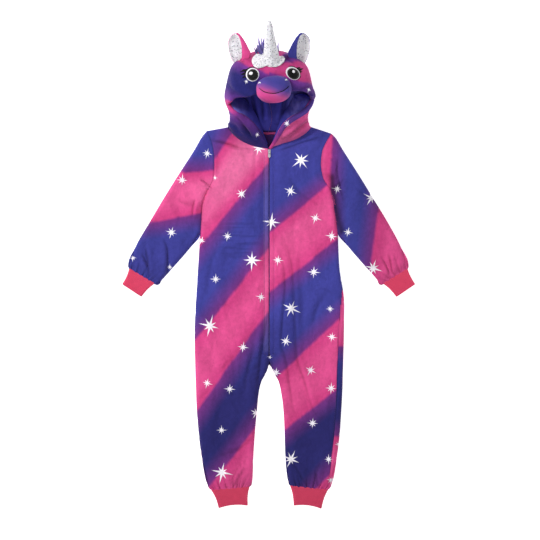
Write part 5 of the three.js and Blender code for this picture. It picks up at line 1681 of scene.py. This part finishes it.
def horn_piece():
    """The padded cone, wound round by one groove."""
    base, _ = over(HOOD_TREE, *HORN_BASE)
    axis = HORN_TIP - base
    length = np.linalg.norm(axis)
    axis /= length
    side = np.cross(axis, (0, 0, 1.0))
    side /= np.linalg.norm(side)
    up = np.cross(side, axis)
    profile = np.array(HORN_PROFILE)
    parts = np.linspace(profile[0, 0], 1, 190)
    radii = smooth(profile[:, 0], profile[:, 1:], parts)[:, 0]
    turn = np.arange(HORN_SPOKES) / HORN_SPOKES * math.tau
    part, angle = np.meshgrid(parts, turn, indexing="ij")
    phase = (HORN_TURNS * part + 0.16 * np.sin(2.3 * part * 3) + angle / math.tau) % 1
    groove = np.minimum(phase, 1 - phase)
    puffed = 1 - np.exp(-(groove / 0.07) ** 2)
    pucker = 0.35 * np.sin(angle * 17 + 9 * np.sin(part * 31)) * np.exp(-(groove / 0.16) ** 2)
    radius = radii[:, None] * (0.94 + 0.06 * puffed) + pucker * (radii[:, None] / 22)
    radius += 0.35 * np.sin(angle * 3 + 11 * part) * np.sin(7 * part)
    middle = base + axis * length * part[..., None]
    rows = middle + (side * np.cos(angle)[..., None] + up * np.sin(angle)[..., None]) * radius[..., None]
    cloth = grid_cloth(rows, closed=True)
    tip, root = len(cloth.points), len(cloth.points) + 1
    points = np.vstack([cloth.points, HORN_TIP + axis * 0.4, base - axis * length * 0.12])
    last = (len(parts) - 1) * HORN_SPOKES
    caps = []
    for i in range(HORN_SPOKES):
        j = (i + 1) % HORN_SPOKES
        caps += [[last + i, last + j, tip, tip], [i, j, root, root]]
    piece = mesh_piece("horn_cone", points, np.vstack([cloth.faces, caps]), GLITTER, sharp=0)
    point_outwards(piece)
    finish_piece(piece, "glitter", "horn")


horn_piece()

FRILL_EDGE = [(43, 560), (39, 551), (24, 540), (14, 537), (-3, 541), (-20, 536), (-31, 534), (-42, 540), (-47, 553),
              (-43, 566), (-33, 573), (-20, 575), (4, 575), (24, 568), (38, 566)]  # a big round lobe and a small one


def horn_frill():
    """The gathered cloth round the horn's foot."""
    spokes, rings = 160, 22
    edge = refined(np.array(FRILL_EDGE + FRILL_EDGE[:1], float), 12)
    edge = points_along(edge, np.linspace(0, 1, spokes + 1))[:-1]
    turn = np.linspace(0, -math.tau, spokes + 1)[:-1]
    collar = np.column_stack([6 + 17 * np.cos(turn), 557 + 12 * np.sin(turn)])
    rows = []
    for i in range(rings):
        size = i / (rings - 1)
        row = []
        for k in range(spokes):
            x, y = collar[k] + (edge[k] - collar[k]) * size
            hit, normal = over(HOOD_TREE, x, y)
            if hit is None:
                hit, normal = over(HOOD_TREE, x, min(y, 582))
            run = k / spokes * math.tau
            wave = (1 + math.sin(12 * run + 2.2 * math.sin(3 * run))) * 1.7 * size**1.5
            droop = 1.4 * max(0, size - 0.9) / 0.1
            normal = normal + np.array([0, 0, 1.5])
            normal /= np.linalg.norm(normal)
            row.append(hit + normal * (2.4 + 3.5 * (1 - size) ** 2 + wave - droop))
        rows.append(row)
    cloth = facing_up(grid_cloth(np.array(rows), closed=True))
    finish_piece(walled_piece("horn_frill_cloth", cloth, 0.8, -0.8, GLITTER), "glitter", "horn_frill")


horn_frill()

# ---- ears

EAR_LEVELS = [  # height up the picture, then how far out the outer edge, the fold's free edge and the fold lie
    [546, 90, 77, 75.5], [556, 98, 75, 68], [567, 104, 74, 58.5], [577, 107.5, 73.5, 55.5], [591, 111, 73.5, 61.5],
    [605, 112, 75, 68.5], [618, 108.5, 78.5, 75.5], [626, 103, 82, 81], [630.5, 96, 86, 85.5], [632, 92, 89, 88.5],
]
EAR_FOOT, EAR_TALL = 546, 86
EAR_SCOOP = 8.0


def ear_cloth(side):
    """The ear's middle sheet: a scooped leaf whose inner side is folded over its front."""
    sign = SIDES[side]
    table = np.array(EAR_LEVELS)
    levels = EAR_FOOT + EAR_TALL * np.sin(np.linspace(0, math.pi / 2, 46))
    outer, free, fold = smooth(table[:, 0], table[:, 1:], levels).T
    rows = []
    for level, far, edge, crease in zip(levels, outer, free, fold):
        up = (level - EAR_FOOT) / EAR_TALL
        scoop = EAR_SCOOP * min(1, 0.35 + 3 * up) * min(1, (1 - up) * 5 + 0.12)
        share = np.linspace(0, 1, 30)
        across = far + (crease - far) * share
        depth = -scoop * np.sin(np.pi * share) ** 0.8
        round_turn = np.linspace(-math.pi / 2, math.pi / 2, 9)[1:-1]
        roll = min(2.6, 0.6 + (edge - crease) * 0.3)
        across = np.concatenate([across, crease - roll * np.cos(round_turn)])
        depth = np.concatenate([depth, roll + roll * np.sin(round_turn)])
        share = np.linspace(0, 1, 18)
        across = np.concatenate([across, crease + (edge - crease) * share])
        depth = np.concatenate([depth, 2 * roll + 1.6 * np.sin(np.pi * share) - 1.5 * share])
        z = 92 + 38 * up - 0.42 * (across - 82) + depth
        rows.append(np.column_stack([sign * across, np.full(len(across), level - 2) + 0.12 * depth, z]))
    rows = np.array(rows)
    flat = np.stack(np.meshgrid(np.linspace(0, 92, rows.shape[0]), np.linspace(0, 80, rows.shape[1]),
                                indexing="ij")[::-1], axis=-1)
    return grid_cloth(rows, flip=side == "left", flat=flat)


EAR_FLEECE = {"right": (HOOD_CLOTH, 0.05, "fleece_pink"), "left": (FLEECE_CLOTH, -0.055, "fleece_blue")}
NO_STARS = [(900, 900, 1, 0)]  # one star, far off the cloth


def ear_pieces(side):
    """The ear's fleece behind, and its glitter cloth in front."""
    cloth = ear_cloth(side)
    cloth = facing_up(cloth, len(cloth.points) // 3)
    fleece, inside_band, slot = EAR_FLEECE[side]
    outer = walled_piece(f"ear_outer_{side}_cloth", cloth, -0.1, -2.4, fleece,
                         np.full(len(cloth.points), inside_band), NO_STARS)
    finish_piece(outer, slot, f"ear_outer_{side}")
    inner = walled_piece(f"ear_inner_{side}_cloth", cloth, 1.4, -0.1, GLITTER)
    finish_piece(inner, "glitter", f"ear_inner_{side}")


for SIDE in SIDES:
    ear_pieces(SIDE)

# ---------------------------------------------------------------- what repeats along a line


def geometry_tree(name, inputs):
    """A geometry tree with named inputs: its nodes, its inputs and a way to end it."""
    tree = bpy.data.node_groups.new(name, "GeometryNodeTree")
    tree.interface.new_socket("Geometry", in_out="INPUT", socket_type="NodeSocketGeometry")
    for label, kind in inputs.items():
        tree.interface.new_socket(label, in_out="INPUT", socket_type=f"NodeSocket{kind}")
    tree.interface.new_socket("Geometry", in_out="OUTPUT", socket_type="NodeSocketGeometry")
    n = Nodes(tree)
    into = tree.nodes.new("NodeGroupInput").outputs

    def end(instances):
        real = n.out("GeometryNodeRealizeInstances", {"Geometry": instances})
        dressed = n.out("GeometryNodeSetMaterial", {"Geometry": real, "Material": into["Material"]})
        n.feed(tree.nodes.new("NodeGroupOutput").inputs[0], dressed)
        return tree

    return n, into, end


def grown(piece, tree, **values):
    """Runs a geometry tree on a piece and keeps the result as its plain mesh."""
    modifier = piece.modifiers.new("made", "NODES")
    modifier.node_group = tree
    known = {item.name: item.identifier for item in tree.interface.items_tree if item.in_out == "INPUT"}
    for name, value in values.items():
        modifier[known[name.replace("_", " ")]] = value
    applied(piece).shade_smooth()
    return piece


def evenly_along(n, into):
    """Points a pitch apart along the line that a tree is given."""
    line = n.out("GeometryNodeMeshToCurve", {"Mesh": into["Geometry"]})
    return n.out("GeometryNodeResampleCurve", {"Curve": line, "Length": into["Pitch"]}, mode="LENGTH")


def stretched_ball(n, segments, *size):
    """A small ball, as long, wide and high as asked."""
    ball = n.out("GeometryNodeMeshUVSphere", {"Segments": segments, "Rings": 6, "Radius": 0.5})
    return n.out("GeometryNodeTransform", {"Geometry": ball, "Scale": n.vector(*size)})


def stitch_tree():
    """A stitch at each pitch, turned along the line."""
    n, into, end = geometry_tree("Stitches along a seam", {
        "Pitch": "Float", "Length": "Float", "Thickness": "Float", "Material": "Material"})
    even = evenly_along(n, into)
    thread = stretched_ball(n, 8, into["Length"], into["Thickness"], into["Thickness"])
    way = n.out("GeometryNodeInputTangent")
    turn = n.out("FunctionNodeAlignRotationToVector", {"Vector": way}, axis="X")
    return end(n.out("GeometryNodeInstanceOnPoints", {"Points": even, "Instance": thread, "Rotation": turn}))


def tuft_tree():
    """Bent tufts strewn over a patch. They lie one way and stray from it a little."""
    n, into, end = geometry_tree("Tufts of pile", {
        "Count": "Float", "Length": "Float", "Width": "Float", "Lie": "Vector", "Spread": "Float",
        "Seed": "Int", "Material": "Material"})
    roots = n.out("GeometryNodeDistributePointsOnFaces", {
        "Mesh": into["Geometry"], "Density": into["Count"], "Seed": into["Seed"]})
    cone = n.out("GeometryNodeMeshCone", {
        "Vertices": 7, "Side Segments": 7, "Radius Top": 0.02, "Radius Bottom": 0.5, "Depth": 1.0})
    height = n.parts(n.out("GeometryNodeInputPosition"))[2]
    lean = n.times(n.math("POWER", n.math("MAXIMUM", height, 0.0), 2.0), 0.22)
    tuft = n.out("GeometryNodeSetPosition", {"Geometry": cone, "Offset": n.vector(lean)})
    far = n.out("FunctionNodeRandomValue", {"Min": (-1.0, -1.0, -1.0), "Max": (1.0, 1.0, 1.0), "Seed": into["Seed"]},
                data_type="FLOAT_VECTOR")
    stray = n.out("ShaderNodeVectorMath", {0: far, "Scale": into["Spread"]}, operation="SCALE")
    way = n.vector_math("ADD", into["Lie"], stray)
    turn = n.out("FunctionNodeAlignRotationToVector", {"Vector": way}, axis="Z")
    size = n.add("FunctionNodeRandomValue", {2: 0.55, 3: 1.15, "Seed": 5}, data_type="FLOAT").outputs[1]
    across = n.times(size, into["Width"])
    scale = n.vector(across, across, n.times(size, into["Length"]))
    return end(n.out("GeometryNodeInstanceOnPoints", {
        "Points": roots, "Instance": tuft, "Rotation": turn, "Scale": scale}))


def coil_tree():
    """The zip's loops, each on the other side of the line from the one before."""
    n, into, end = geometry_tree("Zip coil", {
        "Pitch": "Float", "Width": "Float", "Height": "Float", "Material": "Material"})
    even = evenly_along(n, into)
    loop = stretched_ball(n, 10, into["Width"], n.times(into["Pitch"], 0.82), into["Height"])
    number = n.out("GeometryNodeInputIndex")
    odd = n.minus(n.math("FLOORED_MODULO", number, 2.0), 0.5)
    shift = n.vector(n.times(odd, n.times(into["Width"], 0.3)))
    beside = n.out("GeometryNodeSetPosition", {"Geometry": even, "Offset": shift})
    return end(n.out("GeometryNodeInstanceOnPoints", {"Points": beside, "Instance": loop}))


def thread_line(name, places):
    """A line of points, in millimetres, for a tree to follow."""
    mesh = bpy.data.meshes.new(name)
    mesh.from_pydata((np.asarray(places, float) * MM).tolist(), [(i, i + 1) for i in range(len(places) - 1)], [])
    return place_object(name, mesh)


def thread_material(name, base, shade):
    """Twisted sewing thread."""
    n = Look(name, 0.55, Sheen_Weight=0.2, Specular_IOR_Level=0.4)
    ply = n.add("ShaderNodeTexWave", {"Vector": n.mapped(n.place(), Rotation=(0, 0, 0.8)), "Scale": 700.0,
                                      "Distortion": 0.6}).outputs["Fac"]
    return n.dressed(n.mix(ply, shade, base), n.plus(0.4, n.times(ply, 0.25)),
                     bump(n, ply, 0.00015, 0.6))


STITCHES, TUFTS, COIL = stitch_tree(), tuft_tree(), coil_tree()
GARMENT_TREE = tree_of([f"{PART}_{SIDE}_cloth" for PART in ("front", "hood") for SIDE in SIDES])
PURPLE_THREAD = thread_material("purple_thread", "5b3f93", "33235c")
STITCH_LENGTH, STITCH_THICKNESS, STITCH_LIFT = 2.5, 0.55, 0.05


def seam_stitches(name, places, pitch=3.2):
    """A row of purple stitches along a line of places, lying on the garment."""
    on_cloth = []
    for x, y in refined(np.asarray(places, float), 12):
        hit, _ = over(GARMENT_TREE, x, y)
        if hit is not None:
            on_cloth.append(hit + [0, 0, STITCH_LIFT])
    piece = grown(thread_line(name, on_cloth), STITCHES, Pitch=pitch * MM, Length=STITCH_LENGTH * MM,
                  Thickness=STITCH_THICKNESS * MM, Material=PURPLE_THREAD)
    finish_piece(piece, "zip_tape")


TOPSTITCH, TOPSTITCH_TOP, TOPSTITCH_END = 11 + ZIP_HALF, 300, -244
for SIDE, SIGN in SIDES.items():
    seam_stitches(f"zip_topstitch_{SIDE}",
                  [(SIGN * TOPSTITCH, y) for y in np.linspace(TOPSTITCH_TOP, TOPSTITCH_END, 60)])
seam_stitches("side_seam_stitches", [(x - 2.2, y) for x, y in SIDE_STRIP[1:-1]], pitch=4)
seam_stitches("zip_end_tack", [(-TOPSTITCH, TOPSTITCH_END), (-4, -252), (4, -252), (TOPSTITCH, TOPSTITCH_END)])

# ---- zip

COIL_Z = 4.9


def zip_coil():
    """The closed coil between the tapes."""
    material = rubbed("zip_coil", (700, 3), "3a3168", "6d64a6", 0.25, 0.3, roughness=0.35, Specular_IOR_Level=0.5)
    line = [(0, y, COIL_Z) for y in np.linspace(ZIP_END + 1, ZIP_TOP - 11.5, 8)]
    piece = grown(thread_line("zip_coil", line), COIL, Pitch=1.35 * MM, Width=3.9 * MM, Height=1.7 * MM,
                  Material=material)
    finish_piece(piece, "zip_teeth", "zip_chain")


TAPE_ACROSS = np.array([1.0, 1.4, 2.2, 3.0, 3.4, 6, 9, 12.2, 13.4, 14.0])
TAPE_RAISED = np.array([0.0, 0.5, 0.75, 0.5, 0.05, 0, 0, 0, 0.1, 0.0])


def zip_tapes():
    """The two woven tapes, each with a rib beside the coil."""
    weave = woven_tape("zip_tape_weave", "45418a", "25234f")
    for side, sign in SIDES.items():
        along = np.linspace(ZIP_END + 2, ZIP_TOP - 2, 120)
        x, y = np.meshgrid(TAPE_ACROSS * sign, along)
        z = 4.1 + np.tile(TAPE_RAISED, (len(along), 1)) + 0.12 * np.sin(y / 9)
        tape = facing_up(grid_cloth(np.stack([x, y, z], axis=-1), flip=side == "right"))
        piece = walled_piece(f"zip_tape_{side}_weave", tape, 0.3, -0.3, weave)
        finish_piece(piece, "zip_tape", f"zip_tape_{side}")


zip_coil()
zip_tapes()
METAL = rubbed("zip_metal", (900, 4, 0.65, 0.5), "dddde4", "f1f1f6", 0.2, 0.4, roughness=0.3, Metallic=1.0)
for NODE in ("zip_slider", "zip_pull"):
    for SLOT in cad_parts[NODE].material_slots:
        SLOT.material = METAL

# ---- neck tape and the lining's seam

NECK_TAPE_LINE = [(-84, 366.5), (-72, 363.8), (-40, 361), (0, 360.2), (40, 361), (72, 363.8), (84, 366.5)]
INSIDE_TREE = tree_of([f"{PART}_{SIDE}_cloth" for PART in ("hood_lining", "back") for SIDE in SIDES])


def inside(x, y):
    """The point on the inside of the back, or on the lining's floor, over a place."""
    hit, _, _, _ = INSIDE_TREE.ray_cast(Vector((x, y, 30)), Vector((0, 0, -1)))
    return np.array((x, y, FLEECE) if hit is None else hit)


def neck_tape():
    """A narrow tape folded over the neck seam."""
    line = refined(NECK_TAPE_LINE, 14)
    across = np.array([-2.4, -1.2, 0, 1.2, 2.2, 2.9, 2.9, 2.2, 1.2, 0, -1.2, -2.4])
    height = np.array([0.7, 0.7, 0.7, 0.7, 0.75, 1.2, 2.0, 2.4, 2.5, 2.5, 2.5, 2.45])
    rows = [[(x, y + part, max(inside(x, y)[2], 2.7) + up) for part, up in zip(across, height)] for x, y in line]
    piece = walled_piece("neck_tape_weave", facing_up(grid_cloth(settled(rows, 3))), 0.3, -0.3,
                         woven_tape("neck_tape_twill", "d14a8c", "8d2459"))
    finish_piece(piece, "neck_tape", "neck_tape")


neck_tape()


def lining_seam():
    """The pink seam that wanders down the middle of the lining."""
    line = refined([(-1, 452), (3, 432), (7, 410), (5.5, 390), (1, 374), (-2, 366)], 12)
    rows = [inside(x, y) + [0, 0, 0.5] for x, y in line]
    piece = grown(thread_line("lining_seam", settled(rows, 4)), STITCHES, Pitch=2.4 * MM, Length=2.9 * MM,
                  Thickness=1.15 * MM, Material=thread_material("violet_thread", "7a3a8c", "48245f"))
    finish_piece(piece, "neck_tape")


lining_seam()


FACING_START = 0.08  # how far up the opening from the zip the facings begin


def hood_facing(side, widths, lift):
    """The slack wall of the lining, which slopes from the hood's edge in to the lining's floor."""
    line, out, part = opening_edge(side)
    rows = []
    above_zip = part > FACING_START
    widths = np.interp(part, *np.transpose(widths))
    for place, away, wide in zip(line[above_zip], out[above_zip], widths[above_zip]):
        row = []
        for share in np.linspace(0, 1, 15):
            x, y = place[:2] - away * (share * wide - 1.0)
            floor = inside(x, y)[2] + 2
            top = place[2] - 2.5
            slope = share ** 1.5 * (1 + 0.12 * math.sin(x / 7 + y / 11))
            row.append((x, y, max(top + (floor + lift - top) * slope, floor)))
        rows.append(row)
    piece = walled_piece(f"hood_facing_{side}_cloth", facing_up(grid_cloth(settled(rows, 10))), 0.9, -0.9, LINING_CLOTH)
    finish_piece(piece, "lining")


hood_facing("right", [(0, 3), (0.2, 8), (0.4, 16), (0.62, 34), (0.8, 46), (0.95, 40), (1, 30)], 6)
hood_facing("left", [(0, 3), (0.2, 8), (0.4, 16), (0.62, 34), (0.8, 52), (0.95, 48), (1, 30)], 8)

# ---- mane


def mane_material():
    """Long purple pile, darker towards its roots."""
    n = brushed("mane_pile", 0.5, "b9a8e6", 0.7, 0.3, 0.4)
    place = n.place()
    hair = n.noise(n.mapped(place, Scale=(1, 0.12, 0.4)), 1800, 3, 0.6)
    depth = n.ease(n.parts(place)[1], 0.575, 0.612)
    tone = n.times(n.plus(hair, depth), 0.6)
    return n.dressed(n.mix(tone, "322b66", "7a70b6"), n.plus(0.55, n.times(hair, 0.3)),
                     bump(n, hair, 0.0006, 0.8))


MANE_PARTS = {  # from and to across the crown, length of the pile, tufts a square metre
    "mane_tufts": (-24, -10, 44, 36000), "mane_edge": (-34, -22, 27, 30000), "mane_middle": (-10, 14, 34, 26000),
    "mane_wisps": (15, 24, 30, 26000),
}


def mane():
    """A strip of long pile down the middle of the crown, behind the horn."""
    pile = mane_material()
    for number, (name, (low, high, length, density)) in enumerate(MANE_PARTS.items()):
        rows = []
        for y in np.linspace(570, 586.4, 8):
            row = []
            for x in np.linspace(low, high, 9):
                hit, _ = over(HOOD_TREE, x, min(y, 586.2 - 0.0042 * x * x))
                row.append(hit if hit is not None else (x, y, 80))
            rows.append(row)
        top = np.array(rows)
        drop = np.linspace(0, 1, 6)[1:, None, None]
        base = grid_cloth(np.vstack([top, top[-1][None] + drop * np.array([0, -1.5, -22.0])]))
        patch = mesh_piece(name, base.points, base.faces, pile, base.flat)
        grown(patch, TUFTS, Count=float(density), Length=length * MM, Width=7.5 * MM, Lie=(-0.12, 1.0, -0.3),
              Spread=0.42, Seed=3 + number, Material=pile)
        finish_piece(patch, "mane_pile", *(["mane"] if number == 0 else []))


mane()

# ---------------------------------------------------------------- what each cloth was cut from

SHEETS = {  # width and length in metres as cut, area, how it is held, and what it lies on
    "front": ((0.215, 1.01), 0.165, "laid", "back"), "back": ((0.215, 1.01), 0.17, "laid", None),
    "sleeve": ((0.30, 0.42), 0.1, "laid", None), "hood": ((0.34, 0.32), 0.08, "stretched", None),
    "hood_lining": ((0.30, 0.28), 0.062, "laid", "hood"), "ear_outer": ((0.09, 0.11), 0.007, "folded", None),
    "ear_inner": ((0.09, 0.11), 0.007, "folded", "ear_outer"),
}
for KIND, (FLAT, AREA, HELD, UNDER) in SHEETS.items():
    for SIDE in SIDES:
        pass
for SIDE in SIDES:
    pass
for SIDE in SIDES:
    UNDER = f"hood_{SIDE}_cloth"
    for KIND, SIZE in (("white", 0.042), ("iris", 0.036), ("pupil", 0.027)):
        PATCH = f"eye_{KIND}_{SIDE}_patch"
        UNDER = PATCH

# ---------------------------------------------------------------- floor, light and camera


FLOOR_REACH = 6


def pale_floor():
    """The white ground, a millimetre below the cloth."""
    mesh = bpy.data.meshes.new("floor")
    corners = [(-1, -1), (1, -1), (1, 1), (-1, 1)]
    mesh.from_pydata([(x * FLOOR_REACH, y * FLOOR_REACH, -MM) for x, y in corners], [], [(0, 1, 2, 3)])
    n = Look("pale_paper", 0.95, Specular_IOR_Level=0.1, Emission_Strength=0.7)
    n.shader["Emission Color"].default_value = (1, 1, 1, 1)
    grain = n.noise(n.place(), 30, 3)
    n.feed(n.shader["Base Color"], n.mix(grain, (0.93, 0.93, 0.93, 1), (0.97, 0.97, 0.97, 1)))
    mesh.materials.append(n.material)
    place_object("floor", mesh)


def softbox(name, place, size, power):
    """A round light that faces the garment's middle."""
    light = bpy.data.lights.new(name, "AREA")
    light.shape, light.size, light.energy = "DISK", size, power
    lamp = place_object(name, light)
    lamp.location = place
    lamp.rotation_euler = (-Vector(place)).to_track_quat("-Z", "Y").to_euler()


CAMERA_PLACE = (0.002, -0.015, 15.0)
VIEW = 1.485  # how much of the garment's plane the picture takes in, in metres
FILM = 36  # the width of the film, in millimetres


def light_and_camera():
    """Soft light from above and a camera far overhead."""
    scene = bpy.context.scene
    world = bpy.data.worlds.new("studio")
    world.use_nodes = True
    sky = world.node_tree.nodes["Background"].inputs
    sky["Color"].default_value, sky["Strength"].default_value = (1, 1, 1, 1), 0.34
    scene.world = world
    softbox("key_softbox", (-1.8, 1.5, 2.0), 1.0, 67)
    softbox("side_softbox", (1.9, 1.2, 2.2), 1.3, 18)
    softbox("fill_softbox", (-0.5, -2.0, 2.8), 1.5, 33)
    camera = bpy.data.cameras.new("camera")
    camera.sensor_width = FILM
    camera.lens = FILM * CAMERA_PLACE[2] / VIEW
    camera.clip_end = 40
    scene.camera = place_object("camera", camera)
    scene.camera.location = CAMERA_PLACE
    scene.view_settings.view_transform = "Standard"


pale_floor()
light_and_camera()
